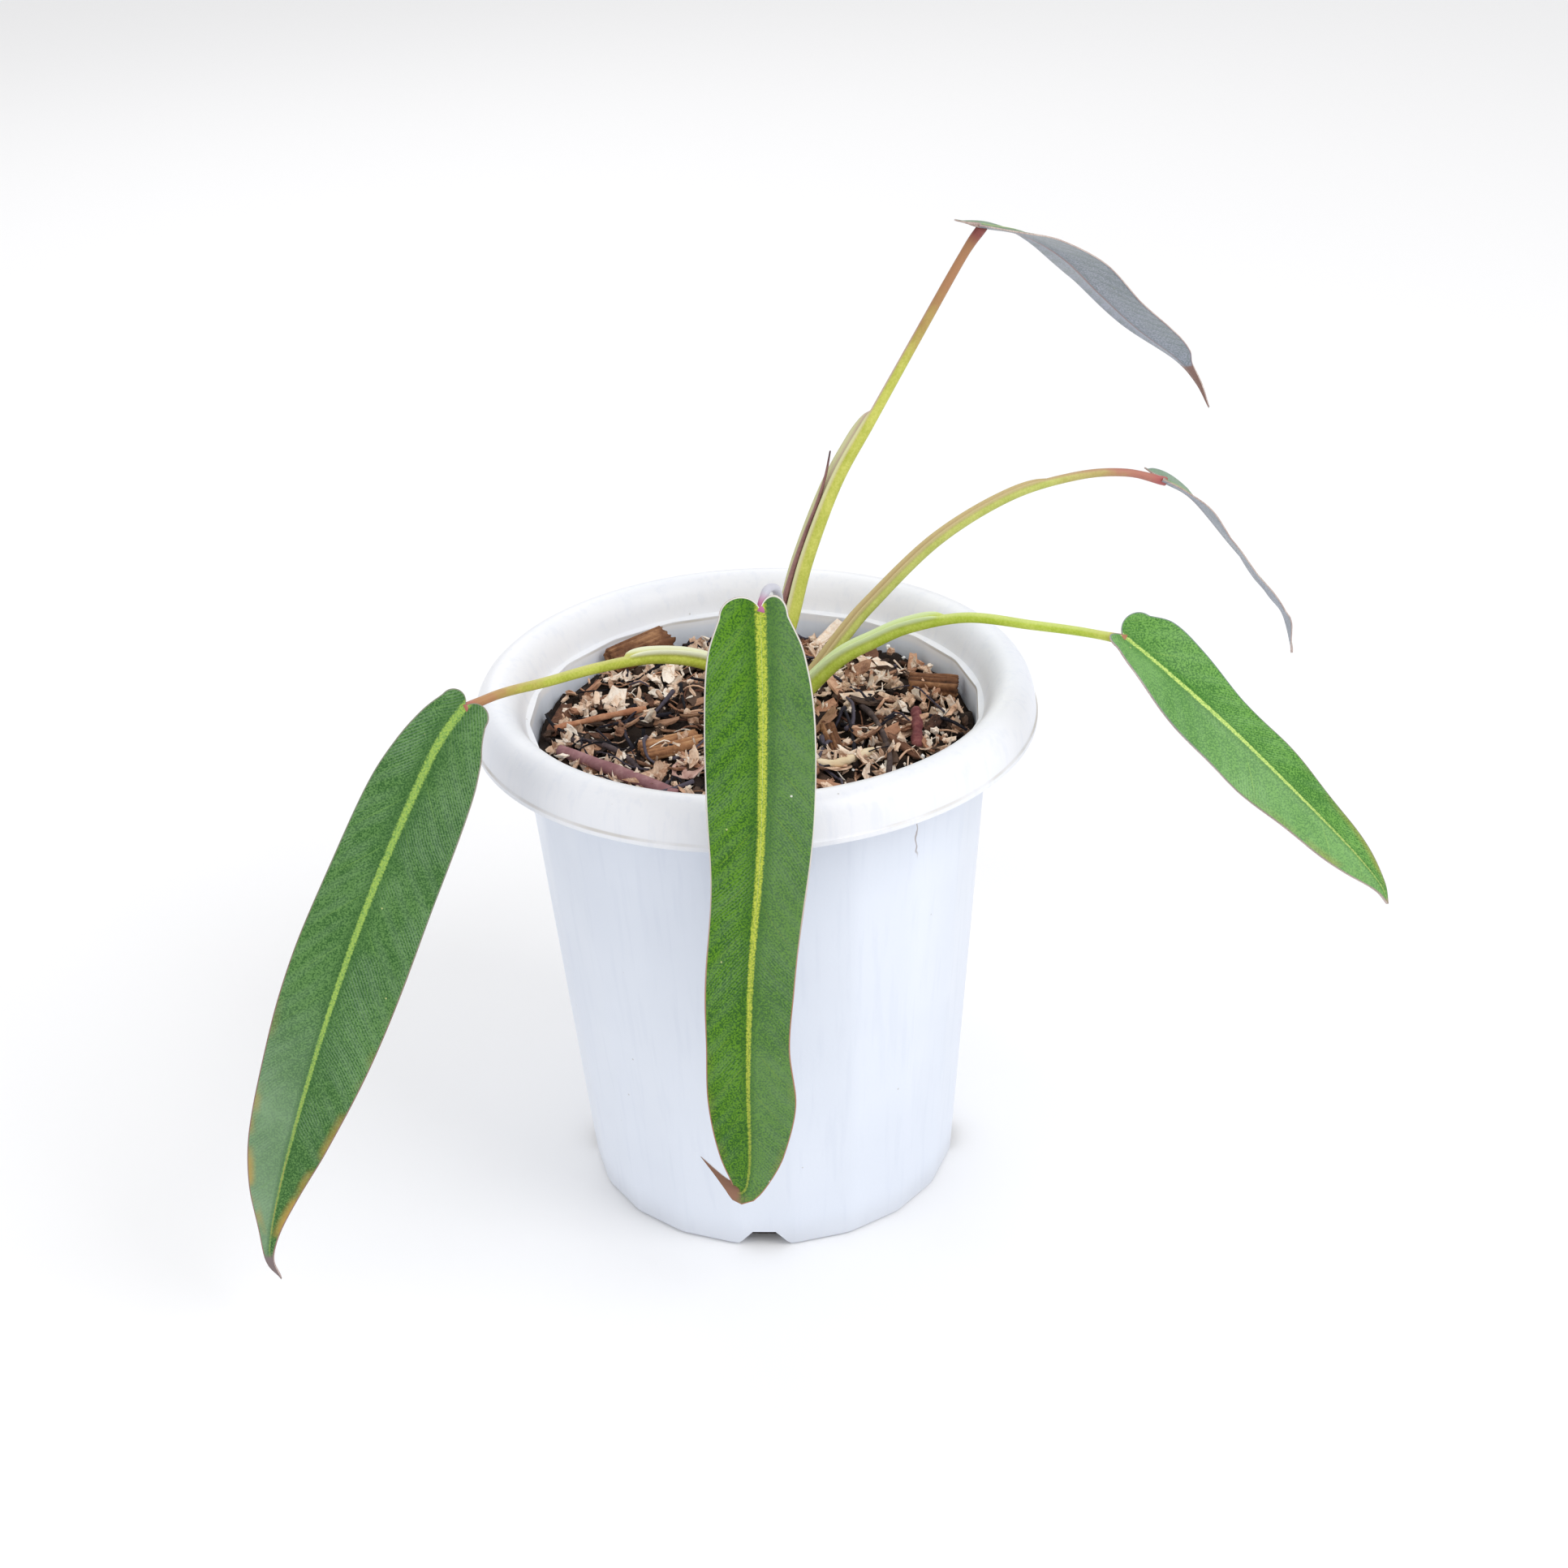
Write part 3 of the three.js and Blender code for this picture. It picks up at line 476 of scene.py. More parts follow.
class Nodes:
    """Short calls for one node tree. A colour is written as it is seen on screen, 0 to 255."""

    def __init__(self, tree):
        self.tree = tree

    def new(self, kind, **settings):
        node = self.tree.nodes.new(kind)
        for key, value in settings.items():
            setattr(node, key, value)
        return node

    def feed(self, socket, value):
        if isinstance(value, bpy.types.NodeSocket):
            self.tree.links.new(value, socket)
        else:
            socket.default_value = rgb(*value) if isinstance(value, tuple) else value

    def fill(self, sockets, values):
        for label, value in values.items():
            self.feed(sockets[label], value)

    def group(self, tree, values):
        node = self.new("ShaderNodeGroup", node_tree=tree)
        self.fill(node.inputs, values)
        return node.outputs

    def math(self, operation, a, b=0.0, c=0.0):
        node = self.new("ShaderNodeMath", operation=operation)
        for socket, value in zip(node.inputs, (a, b, c)):
            self.feed(socket, value)
        return node.outputs[0]

    def plus(self, a, b):
        return self.math("ADD", a, b)

    def minus(self, a, b):
        return self.math("SUBTRACT", a, b)

    def times(self, a, b):
        return self.math("MULTIPLY", a, b)

    def line(self, value, slope, start):
        return self.math("MULTIPLY_ADD", value, slope, start)

    def off(self, value, middle):
        """How far the value is from the middle, either way."""
        return self.math("ABSOLUTE", self.minus(value, middle))

    def sway(self, noise_value, width):
        """A noise as a swing about nothing."""
        return self.times(self.minus(noise_value, 0.5), width)

    def remap(self, value, low, high, to_low=0.0, to_high=1.0, smooth=True):
        node = self.new("ShaderNodeMapRange")
        node.interpolation_type = "SMOOTHSTEP" if smooth else "LINEAR"
        for socket, number in zip(node.inputs, (value, low, high, to_low, to_high)):
            self.feed(socket, number)
        return node.outputs[0]

    def blend(self, share, a, b):
        node = self.new("ShaderNodeMix", data_type="RGBA")
        for place, value in ((0, share), (6, a), (7, b)):
            self.feed(node.inputs[place], value)
        return node.outputs[2]

    def paint(self, color, tint, mask, share=None):
        """Lays the tint over the colour where the mask is, at a share of its strength."""
        return self.blend(mask if share is None else self.times(mask, share), color, tint)

    def place(self):
        return self.new("ShaderNodeTexCoord").outputs["Object"]

    def noise(self, scale, detail=3.0, rough=0.5, vector=None, distortion=0.0):
        node = self.new("ShaderNodeTexNoise")
        self.fill(node.inputs, {
            "Vector": vector or self.place(), "Scale": scale, "Detail": detail, "Roughness": rough,
            "Distortion": distortion,
        })
        return node.outputs["Fac"]

    def specks(self, scale, near, far, share):
        """Small spots, thinly strewn: a share as far out as near, and nothing beyond far."""
        node = self.new("ShaderNodeTexVoronoi")
        self.fill(node.inputs, {"Vector": self.place(), "Scale": scale})
        return self.remap(node.outputs["Distance"], near, far, share, 0.0)

    def attribute(self, name):
        return self.new("ShaderNodeAttribute", attribute_name=name).outputs["Fac"]

    def bump(self, height, strength, distance):
        node = self.new("ShaderNodeBump")
        self.fill(node.inputs, {"Strength": strength, "Distance": distance, "Height": height})
        return node.outputs["Normal"]


def shader_group(name, colors, numbers, outputs):
    """An empty group: the names of its colours, its numbers, and what it gives beside its Color."""
    tree = bpy.data.node_groups.new(name, "ShaderNodeTree")
    for label in colors:
        tree.interface.new_socket(label, in_out="INPUT", socket_type="NodeSocketColor")
    for label, value in numbers.items():
        socket = tree.interface.new_socket(label, in_out="INPUT", socket_type="NodeSocketFloat")
        socket.default_value = value
    tree.interface.new_socket("Color", in_out="OUTPUT", socket_type="NodeSocketColor")
    for label in outputs:
        tree.interface.new_socket(label, in_out="OUTPUT", socket_type="NodeSocketFloat")
    build = Nodes(tree)
    return build, build.new("NodeGroupInput").outputs, build.new("NodeGroupOutput").inputs


def speckle_group():
    """Fine cells and slow drifts of tone, for every grown surface."""
    build, given, out = shader_group(
        "speckle", ("Dark", "Light"), {"Cell": 2000.0, "Drift": 60.0, "Grain": 0.5}, ("Fine", "Slow")
    )
    fine, slow = build.noise(given["Cell"], 2.0, 0.6), build.noise(given["Drift"], 3.0, 0.55)
    wide = build.remap(slow, 0.3, 0.7, 0.25, 0.75)
    share = build.line(build.minus(build.remap(fine, 0.34, 0.66), 0.5), given["Grain"], wide)
    color = build.blend(share, given["Dark"], given["Light"])
    build.fill(out, {"Color": color, "Fine": fine, "Slow": slow})
    return build.tree


def blade_group(speckle):
    """The skin of a blade: midrib, side veins, stripes, painted sheen, margin, old patches and a dry tip.
    """
    build, given, out = shader_group(
        "blade skin", ("Dark", "Light", "Stripe And Painted Sheen", "Rib", "Vein", "Margin", "Margin Low", "Dry"),
        {"Left Painted Sheen": 0.0, "Right Painted Sheen": 0.0, "Painted Sheen From": -1.0, "Rib Width": 1.5,
         "Vein Share": 0.3, "Bands": 0.09, "Dry From": 0.95, "Yellowing": 0.0},
        ("Height", "Rough"),
    )
    along, aside = build.attribute("along_mm"), build.attribute("aside_mm")
    share, edge = build.attribute("share"), build.attribute("edge_mm")
    reach = build.math("ABSOLUTE", aside)
    cells = build.group(speckle, {
        "Dark": given["Dark"], "Light": given["Light"], "Cell": 1950.0, "Drift": 38.0, "Grain": 1.35,
    })
    color, fine, slow = cells["Color"], cells["Fine"], cells["Slow"]

    # fine lines and broad bands run out from the midrib towards the tip, in the Stripe And Painted Sheen
    # colour: the fine lines are the leaf's own striations; on the upper side the broad bands are painted
    # sheen along the side veins, and on the underside they are its own dark stripes
    warp = build.times(build.noise(26.0, 2.0), 9.0)
    lane = build.line(reach, -1.2, build.plus(along, warp))
    thread = build.remap(build.math("SINE", build.times(lane, 5.2)), -0.4, 1.0)
    thread = build.times(thread, build.remap(build.noise(55.0, 2.0), 0.4, 0.65))
    color = build.paint(color, given["Stripe And Painted Sheen"], thread, 0.32)
    band = build.remap(build.math("SINE", build.times(lane, 0.75)), -0.5, 1.0)
    band = build.times(band, build.remap(reach, 1.5, 8.0))
    color = build.paint(color, given["Stripe And Painted Sheen"], band, given["Bands"])

    # painted sheen: each half gets its own share of it, standing in for how the light falls on that half,
    # and it can start part of the way along
    more = build.minus(given["Right Painted Sheen"], given["Left Painted Sheen"])
    sheen = build.line(build.remap(aside, -0.6, 0.6), more, given["Left Painted Sheen"])
    sheen = build.times(sheen, build.remap(build.minus(share, given["Painted Sheen From"]), 0.0, 0.35))
    color = build.paint(color, given["Stripe And Painted Sheen"], sheen, build.remap(slow, 0.3, 0.7, 0.5, 1.0))

    # the side veins leave the midrib by turns on its left and its right
    start = build.line(build.math("SIGN", aside), 3.1, along)
    start = build.line(build.math("POWER", reach, 0.85), -2.0, start)
    beat = build.off(build.math("FRACT", build.math("DIVIDE", start, VEIN_STEP)), 0.5)
    vein = build.times(build.remap(beat, 0.0, 0.028, 1.0, 0.0), build.remap(edge, 0.8, 5.0))
    vein = build.times(vein, build.remap(build.noise(40.0, 1.0), 0.4, 0.6))
    color = build.paint(color, given["Vein"], vein, given["Vein Share"])

    # the midrib is grainy, soft at its edges and fainter at the tip, with a darker green beside it
    narrow = build.remap(share, 0.0, 0.97, 1.0, 0.2, smooth=False)
    inside = build.math("DIVIDE", reach, build.times(given["Rib Width"], narrow))
    color = build.paint(color, given["Dark"], build.remap(inside, 1.3, 3.6, 0.4, 0.0))
    rib = build.remap(inside, 0.3, 1.5, 1.0, 0.0)
    rib = build.remap(build.line(build.sway(fine, 1.5), rib, rib), 0.25, 1.0)
    rib_color = build.blend(build.remap(fine, 0.35, 0.62), given["Vein"], given["Rib"])
    color = build.paint(color, rib_color, rib, build.remap(share, 0.5, 1.0, 1.0, 0.4))

    # the margin yellows towards the tip, and a pale spot lies here and there
    old = build.times(build.remap(share, 0.45, 0.95), build.remap(edge, 0.4, 3.0, 1.0, 0.0))
    old = build.times(old, build.remap(build.noise(70.0, 2.0), 0.45, 0.62))
    color = build.paint(color, (186, 150, 74), old, given["Yellowing"])
    for scale, size, tint in ((95.0, 0.034, (190, 200, 130)), (60.0, 0.026, (236, 238, 226))):
        color = build.paint(color, tint, build.specks(scale, size / 2, size, 0.8))
    rim = build.blend(build.remap(share, 0.25, 0.6), given["Margin"], given["Margin Low"])
    color = build.paint(color, rim, build.remap(edge, 0.15, 0.42, 1.0, 0.0))
    ragged = build.sway(build.noise(300.0, 2.0), 0.03)
    past = build.minus(build.plus(share, ragged), given["Dry From"])
    color = build.paint(color, given["Dry"], build.remap(past, -0.008, 0.008))
    height = build.line(band, -0.6, build.line(vein, -0.5, build.line(thread, 0.25, fine)))
    rough = build.remap(slow, 0.3, 0.7, 0.34, 0.48)
    build.fill(out, {"Color": color, "Height": height, "Rough": rough})
    return build.tree


def stalk_group(speckle):
    """A leaf stalk: green below, a pale or pink channel side, and its own colour near the blade."""
    build, given, out = shader_group(
        "stalk skin", ("Dark", "Light", "Channel", "Wing", "Neck", "Joint"),
        {"Neck From": 0.75, "Line Share": 0.5, "Wing Share": 1.0}, ("Height", "Rough"),
    )
    share = build.attribute("share")
    cells = build.group(speckle, {
        "Dark": given["Dark"], "Light": given["Light"], "Cell": 1500.0, "Drift": 130.0, "Grain": 0.35,
    })
    top = build.remap(build.attribute("turn"), 0.16, 0.34, 1.0, 0.0)
    color = build.paint(cells["Color"], given["Channel"], top, given["Line Share"])
    crest = build.remap(build.attribute("wing"), 0.1, 0.75)
    color = build.paint(color, given["Wing"], crest, given["Wing Share"])
    drift = build.sway(build.noise(160.0, 2.0), 0.16)
    neck = build.minus(build.plus(share, drift), given["Neck From"])
    color = build.paint(color, given["Neck"], build.remap(neck, 0.0, 0.22))
    color = build.paint(color, given["Joint"], build.remap(share, 0.955, 0.985))
    rough = build.remap(cells["Slow"], 0.3, 0.7, 0.36, 0.48)
    build.fill(out, {"Color": color, "Height": cells["Fine"], "Rough": rough})
    return build.tree


def grain_group():
    """Long fibres, cracks and dust, for bark, husk and dry stalks."""
    build, given, out = shader_group(
        "dry grain", ("Dark", "Middle", "Light"), {"Scale": 500.0, "Tone": 0.5}, ("Height",)
    )
    coarse = build.noise(build.times(given["Scale"], 0.35), 3.0, 0.6)
    fine = build.noise(given["Scale"], 5.0, 0.7, distortion=0.6)
    share = build.plus(build.times(coarse, 0.6), build.times(fine, 0.6))
    share = build.plus(share, build.minus(given["Tone"], 0.6))
    low = build.blend(build.remap(share, 0.12, 0.5), given["Dark"], given["Middle"])
    color = build.blend(build.remap(share, 0.45, 0.85), low, given["Light"])
    build.fill(out, {"Color": color, "Height": build.plus(coarse, fine)})
    return build.tree


SPECKLE = speckle_group()
BLADE_SKIN = blade_group(SPECKLE)
STALK_SKIN = stalk_group(SPECKLE)
GRAIN = grain_group()


def start_material(name, roughness=0.5, specular=0.5):
    material = bpy.data.materials.new(name)
    material.use_nodes = True
    build = Nodes(material.node_tree)
    skin = material.node_tree.nodes["Principled BSDF"].inputs
    build.fill(skin, {"Roughness": roughness, "Specular IOR Level": specular})
    return material, build, skin


def grown_material(name, group, values, bump):
    material, build, skin = start_material(name, specular=0.3)
    given = build.group(group, values)
    build.fill(skin, {
        "Base Color": given["Color"], "Roughness": given["Rough"],
        "Normal": build.bump(given["Height"], bump, 0.0003),
    })
    return material


def dry_material(name, tone=None):
    dark, middle, light, scale, bump = DRY[name]
    material, build, skin = start_material(name, 0.85, 0.25)
    given = build.group(GRAIN, {
        "Dark": dark, "Middle": middle, "Light": light, "Scale": scale,
        "Tone": tone or build.attribute("tone"),
    })
    build.fill(skin, {
        "Base Color": given["Color"], "Normal": build.bump(given["Height"], bump, 0.0006),
    })
    return material


def margin_material():
    material, build, skin = start_material("leaf margin")
    cells = build.group(SPECKLE, {"Dark": (158, 130, 124), "Light": (216, 202, 192), "Drift": 90.0})
    build.feed(skin["Base Color"], cells["Color"])
    return material


def plastic_material():
    """White moulded plastic: faint clouds, upright draw marks, scuffs, a seam and a hairline crack."""
    material, build, skin = start_material("white plastic", 0.38)
    clouds = build.noise(16.0, 3.0, 0.6)
    stretch = build.new("ShaderNodeMapping")
    build.feed(stretch.inputs["Vector"], build.place())
    stretch.inputs["Scale"].default_value = (1.0, 1.0, 0.02)
    draw = build.noise(420.0, 2.0, 0.5, stretch.outputs["Vector"])
    axes = build.new("ShaderNodeSeparateXYZ")
    build.feed(axes.inputs[0], build.place())
    aside, depth, height = axes.outputs
    color = build.blend(build.remap(height, 0.1535, 0.1555), (229, 235, 246), (240, 241, 245))
    color = build.paint(color, (218, 225, 238), build.remap(clouds, 0.35, 0.7), 0.35)
    color = build.paint(color, (206, 214, 230), build.remap(draw, 0.5, 0.72), 0.16)
    color = build.paint(color, (150, 140, 128), build.specks(75.0, 0.014, 0.034, 0.4))
    color = build.paint(color, (176, 172, 168), build.remap(height, 0.0, 0.012, 0.35, 0.0), clouds)
    seam = build.remap(build.off(height, SEAM_HEIGHT), 0.0001, 0.0006, 0.55, 0.0)
    color = build.paint(color, (170, 156, 128), seam, build.remap(clouds, 0.4, 0.62))
    wander = build.sway(build.noise(140.0, 2.0), 0.004)
    crack = build.remap(build.off(build.plus(aside, wander), CRACK_X), 0.00005, 0.00028, 0.75, 0.0)
    crack = build.times(crack, build.remap(depth, -0.01, 0.0, 1.0, 0.0))
    span = build.times(build.remap(height, *CRACK_FOOT), build.remap(height, *CRACK_HEAD, 1.0, 0.0))
    color = build.paint(color, (150, 132, 126), crack, span)
    relief = build.line(draw, 0.4, build.noise(900.0, 2.0))
    build.fill(skin, {
        "Base Color": color, "Roughness": build.remap(clouds, 0.3, 0.7, 0.32, 0.46),
        "Normal": build.bump(relief, 0.12, 0.0003),
    })
    return material


# Pot


def panel_pull(x, y):
    """How far a ring is drawn in there, so that it makes flat panels with soft corners."""
    half = 180 / PANELS
    turn = math.degrees(math.atan2(y, x)) - POT_TURN - half
    eased = min(abs(turn % (2 * half) - half), PANEL_CORNER)
    return math.cos(math.radians(half)) / math.cos(math.radians(eased))


def draw_in(vert):
    pull = panel_pull(vert.co.x, vert.co.y)
    vert.co.x *= pull
    vert.co.y *= pull


def lip_profile():
    """The pot's section, from the foot's centre out, up and over the lip, and down the inner wall."""
    outer = [(0, 0), (20, 0), (40, 0), (POT_FOOT - 1.6, 0), (POT_FOOT - 0.5, 0.5), (POT_FOOT, 1.7)]
    for k in range(1, 12):
        outer.append((lerp(POT_FOOT, POT_WALL_TOP, k / 12), lerp(1.7, LIP_FOOT, k / 12)))
    under = [
        (POT_WALL_TOP, LIP_FOOT), (70.8, 156.8), (71.6, 159.8), (73.1, 163), (74.8, 164.9),
        (76.7, 165.7), (78.5, 165.3), (80, 163.9), (81.1, 161.6), (81.7, 158.6), (82, 154.9),
    ]
    lip = [
        (82.2, 154.5), (83.6, 154.4), (84, 154.8), (84, 156.1), (83.6, 156.5), (83.4, 157.1),
        (83.3, 159), (82.9, 161.2), (82.1, 163.5), (80.9, 165.5), (79.2, 167), (77.4, 167.65),
        (75.6, 167.6), (73.8, 166.9), (72.1, 165.4), (70.6, 163.2), (69.4, 160.6), (68.6, 158.4),
        (68.1, 157.5), (67.5, 157.2),
    ]
    inner = [(67.15, 156.9), (67, 156.2)]
    for k in range(1, 10):
        inner.append((lerp(67, 56, k / 10), lerp(156.2, POT_FLOOR + 1.5, k / 10)))
    return outer + under + lip + inner + [(55.6, POT_FLOOR + 0.4), (54.6, POT_FLOOR), (0, POT_FLOOR)]


def spun(profile, steps, name, material):
    bm = bmesh.new()
    verts = [bm.verts.new((radius * MM, 0, height * MM)) for radius, height in profile]
    for pair in zip(verts, verts[1:]):
        bm.edges.new(pair)
    bmesh.ops.spin(
        bm, geom=bm.verts[:] + bm.edges[:], cent=(0, 0, 0), axis=UP, dvec=(0, 0, 0),
        angle=2 * math.pi, steps=steps, use_merge=True,
    )
    bmesh.ops.remove_doubles(bm, verts=bm.verts, dist=1e-6)
    bmesh.ops.recalc_face_normals(bm, faces=bm.faces)
    return link(name, bm, [material])


def notch_bar(turn, grow, start, end, below, name):
    """A bar with a trapezoid section that points outwards along the pot's floor."""
    bm = bmesh.new()
    bmesh.ops.create_cube(bm, size=1)
    height = NOTCH_HEIGHT + grow
    foot, top = NOTCH_FOOT / 2 + grow, NOTCH_TOP / 2 + grow
    low = foot + (foot - top) / height * below
    for vert in bm.verts:
        half, level = (top, height) if vert.co.z > 0 else (low, -below)
        out = -start if vert.co.y > 0 else -end
        vert.co = Vector((math.copysign(half, vert.co.x), out, level)) * MM
    bmesh.ops.rotate(bm, verts=bm.verts, cent=(0, 0, 0), matrix=Matrix.Rotation(turn, 3, "Z"))
    bmesh.ops.recalc_face_normals(bm, faces=bm.faces)
    return link(name, bm, [])


def drain_cutter(turn, name):
    bm = bmesh.new()
    radius = DRAIN_RADIUS * MM
    bmesh.ops.create_cone(
        bm, cap_ends=True, segments=32, radius1=radius, radius2=radius, depth=DRAIN_DEPTH * MM
    )
    bmesh.ops.translate(bm, verts=bm.verts, vec=(0, -DRAIN_AT * MM, 5 * MM))
    bmesh.ops.rotate(bm, verts=bm.verts, cent=(0, 0, 0), matrix=Matrix.Rotation(turn, 3, "Z"))
    return link(name, bm, [])


def cut(piece, tool, operation="DIFFERENCE"):
    modifier = piece.modifiers.new("cut", "BOOLEAN")
    modifier.operation = operation
    modifier.object = tool
    modifier.solver = "EXACT"
    depsgraph = bpy.context.evaluated_depsgraph_get()
    mesh = bpy.data.meshes.new_from_object(piece.evaluated_get(depsgraph))
    piece.modifiers.clear()
    piece.data = mesh
    bpy.data.objects.remove(tool)


def make_pot():
    pot = spun(lip_profile(), POT_STEPS, "white_pot", plastic_material())
    for vert in pot.data.vertices:
        x, y, z = vert.co / MM
        if math.hypot(x, y) < 71.2 and z < 157:
            draw_in(vert)
    turns = [math.radians(POT_TURN + k * 360 / NOTCH_COUNT) for k in range(NOTCH_COUNT)]
    for k, turn in enumerate(turns):
        roof = notch_bar(turn, NOTCH_ROOF, NOTCH_INNER - NOTCH_ROOF, 56.2, -0.4, f"roof_{k}")
        cut(pot, roof, "UNION")
    for k, turn in enumerate(turns):
        cut(pot, notch_bar(turn, 0, NOTCH_INNER, POT_FOOT + 5, 1, f"notch_{k}"))
        cut(pot, drain_cutter(turn, f"drain_{k}"))
    for polygon in pot.data.polygons:
        polygon.use_smooth = True
    pot.data.set_sharp_from_angle(angle=math.radians(32))
    settle(pot, "pot")


# Blades


def half_width(outline, share, column):
    """Half the blade's width there, eased between the rows of the outline."""
    last = len(outline) - 1
    after = next((k for k in range(1, last + 1) if outline[k][0] >= share), last)
    before, low, high, beyond = (outline[clamp(k, 0, last)] for k in range(after - 2, after + 2))
    part = (share - low[0]) / (high[0] - low[0])

    def slope(a, b):
        return (b[column] - a[column]) / (b[0] - a[0]) * (high[0] - low[0])

    start, end = slope(before, high), slope(low, beyond)
    rise = high[column] - low[column]
    bend = (3 * rise - 2 * start - end) * part ** 2 + (start + end - 2 * rise) * part ** 3
    return max(0, low[column] + start * part + bend)


def on_pattern(leaf, row, across):
    """Share of the midrib, the way back from the base and the way aside, for the flat blade."""
    column = 1 if across < 0 else 2
    if row < LOBE_SHARE:
        angle = math.pi * (1 - row / LOBE_SHARE)
        middle = leaf["outline"][0][column] / 2
        back = leaf["lobes"][column - 1] * math.sin(angle) * abs(across)
        return 0, back, middle * (1 + math.cos(angle)) * across
    share = (row - LOBE_SHARE) / (1 - LOBE_SHARE)
    return share, 0, half_width(leaf["outline"], share, column) * across


def face_at(face, share):
    place = share * (len(face) - 1)
    before = min(int(place), len(face) - 2)
    return Vector(face[before]).lerp(Vector(face[before + 1]), place - before)


def make_blade(name, leaf):
    path = Path(leaf["midrib"])
    height, count, left_phase, right_phase = leaf["wave"]
    bm = new_mesh("share", "along_mm", "aside_mm", "edge_mm")
    bmesh.ops.create_grid(bm, x_segments=BLADE_COLUMNS, y_segments=BLADE_ROWS, size=1)
    thick = bm.verts.layers.deform.verify()
    layers = bm.verts.layers.float.values()
    frames = {}
    for vert in bm.verts:
        across, row = vert.co.x, (vert.co.y + 1) / 2
        share, back, aside = on_pattern(leaf, row, across)
        if share not in frames:
            tangent = path.tangent(share)
            up = square_to(face_at(leaf["face"], share), tangent)
            frames[share] = (path.point(share), tangent, up, up.cross(tangent))
        point, tangent, up, sideways = frames[share]
        phase = left_phase if across < 0 else right_phase
        swell = math.sin(math.pi * min(1, share * 1.1)) * height * across * across
        fold = lerp(*leaf["fold"], smoothstep(share, 0, FOLD_END))
        rise = fold * abs(aside) + swell * math.sin(2 * math.pi * (count * share + phase))
        from_edge = abs(aside) / max(abs(across), 0.01) * (1 - abs(across))
        for layer, value in zip(layers, (share, share * path.length - back, aside, from_edge)):
            vert[layer] = value
        vert[thick][0] = lerp(BLADE_EDGE, 1, hump(aside, RIB_WIDTH) * (1 - 0.6 * share))
        vert.co = (point - tangent * back + sideways * aside + up * rise) * MM
    bmesh.ops.remove_doubles(bm, verts=bm.verts, dist=2e-6)
    bm.normal_update()
    outward = Vector(leaf["face"][len(leaf["face"]) // 2])
    if sum(face.normal.dot(outward) for face in bm.faces) < 0:
        bmesh.ops.reverse_faces(bm, faces=bm.faces)
    upper = grown_material(f"leaf upper {name}", BLADE_SKIN, UPPER[name], BLADE_RELIEF)
    piece = link(f"blade_{name}", bm, [upper, UNDERSIDES[name], MARGIN])
    wall = thicken(piece, BLADE_THICK)
    wall.vertex_group = piece.vertex_groups.new(name="thick").name
    wall.material_offset = 1
    wall.material_offset_rim = 2
    settle(piece, f"leaf_{name}")


# Stalks, stem and sticks


def from_front(angle):
    """How far round a tube the angle lies, either way."""
    return min(angle, 2 * math.pi - angle)


def roll_tube(bm, path, radius_at, sides, rings, channel=UP, tone=0.5, wing_at=None):
    """Rolls a grid round a path, with its ends drawn together. radius_at takes share and angle."""
    part = new_mesh(*TUBE_LAYERS)
    bmesh.ops.create_grid(part, x_segments=sides, y_segments=rings, size=1)
    layers = part.verts.layers.float.values()
    frames = {}
    for vert in part.verts:
        turn, row = (vert.co.x + 1) * math.pi, (vert.co.y + 1) / 2
        end = min(row, 1 - row) < 0.5 / rings
        share = clamp((row * rings - 1) / (rings - 2))
        if share not in frames:
            tangent = path.tangent(share)
            across = square_to(channel, tangent)
            frames[share] = (path.point(share), across, tangent.cross(across))
        middle, across, beside = frames[share]
        angle = 0 if turn > 2 * math.pi - 1e-6 else turn
        radius = 0 if end else radius_at(share, angle)
        vert.co = (middle + (across * math.cos(angle) + beside * math.sin(angle)) * radius) * MM
        wing = wing_at(share, angle) if wing_at else 0
        for layer, value in zip(layers, (share, from_front(angle) / math.pi, wing, tone)):
            vert[layer] = value
    bmesh.ops.remove_doubles(part, verts=part.verts, dist=1e-6)
    bmesh.ops.recalc_face_normals(part, faces=part.faces)
    take_in(bm, part)


def make_petiole(name, leaf):
    def wing_level(share):
        """How far the wings are out: full from near the foot, then a short rounded end."""
        shoulder = clamp((share - leaf["sheath"] + 0.06) / 0.06)
        return smoothstep(share, 0.02, 0.1) * math.sqrt(1 - shoulder ** 2)

    def ridge(angle):
        return hump(from_front(angle) - math.radians(WING_ANGLE), math.radians(13))

    def radius_at(share, angle):
        groove = hump(from_front(angle), math.radians(20))
        level = wing_level(share)
        flare = 1 + 0.22 * smoothstep(share, 0.93, 1) + 0.12 * smoothstep(0.08 - share, 0, 0.08)
        soft = 1 - 0.05 * groove * (1 - level)
        body = lerp(*leaf["radii"], share ** 0.8) * flare * soft
        wing = leaf["wing"][0 if angle < math.pi else 1]
        return body * (1 + (1.1 * wing * ridge(angle) - CHANNEL_DEPTH * groove) * level)

    bm = new_mesh(*TUBE_LAYERS)
    roll_tube(
        bm, Path(leaf["petiole"]), radius_at, STALK_SIDES, STALK_RINGS, leaf["channel"],
        wing_at=lambda share, angle: wing_level(share) * ridge(angle),
    )
    look = grown_material(f"stalk {name}", STALK_SKIN, STALKS[name], STALK_RELIEF)
    settle(link(f"stalk_{name}", bm, [look]), f"petiole_{name}")


def make_new_leaf():
    def radius_at(share, angle):
        return lerp(1.15, 0.25, share ** 1.5) * (1 - 0.22 * hump(angle - 0.6, 0.25))

    look = grown_material("rolled leaf", STALK_SKIN, NEW_LEAF_LOOK, STALK_RELIEF)
    bm = new_mesh(*TUBE_LAYERS)
    roll_tube(bm, Path(NEW_LEAF_PATH), radius_at, 24, 60, (-1, 0, 0))
    settle(link("rolled_leaf", bm, [look]), "new_leaf")


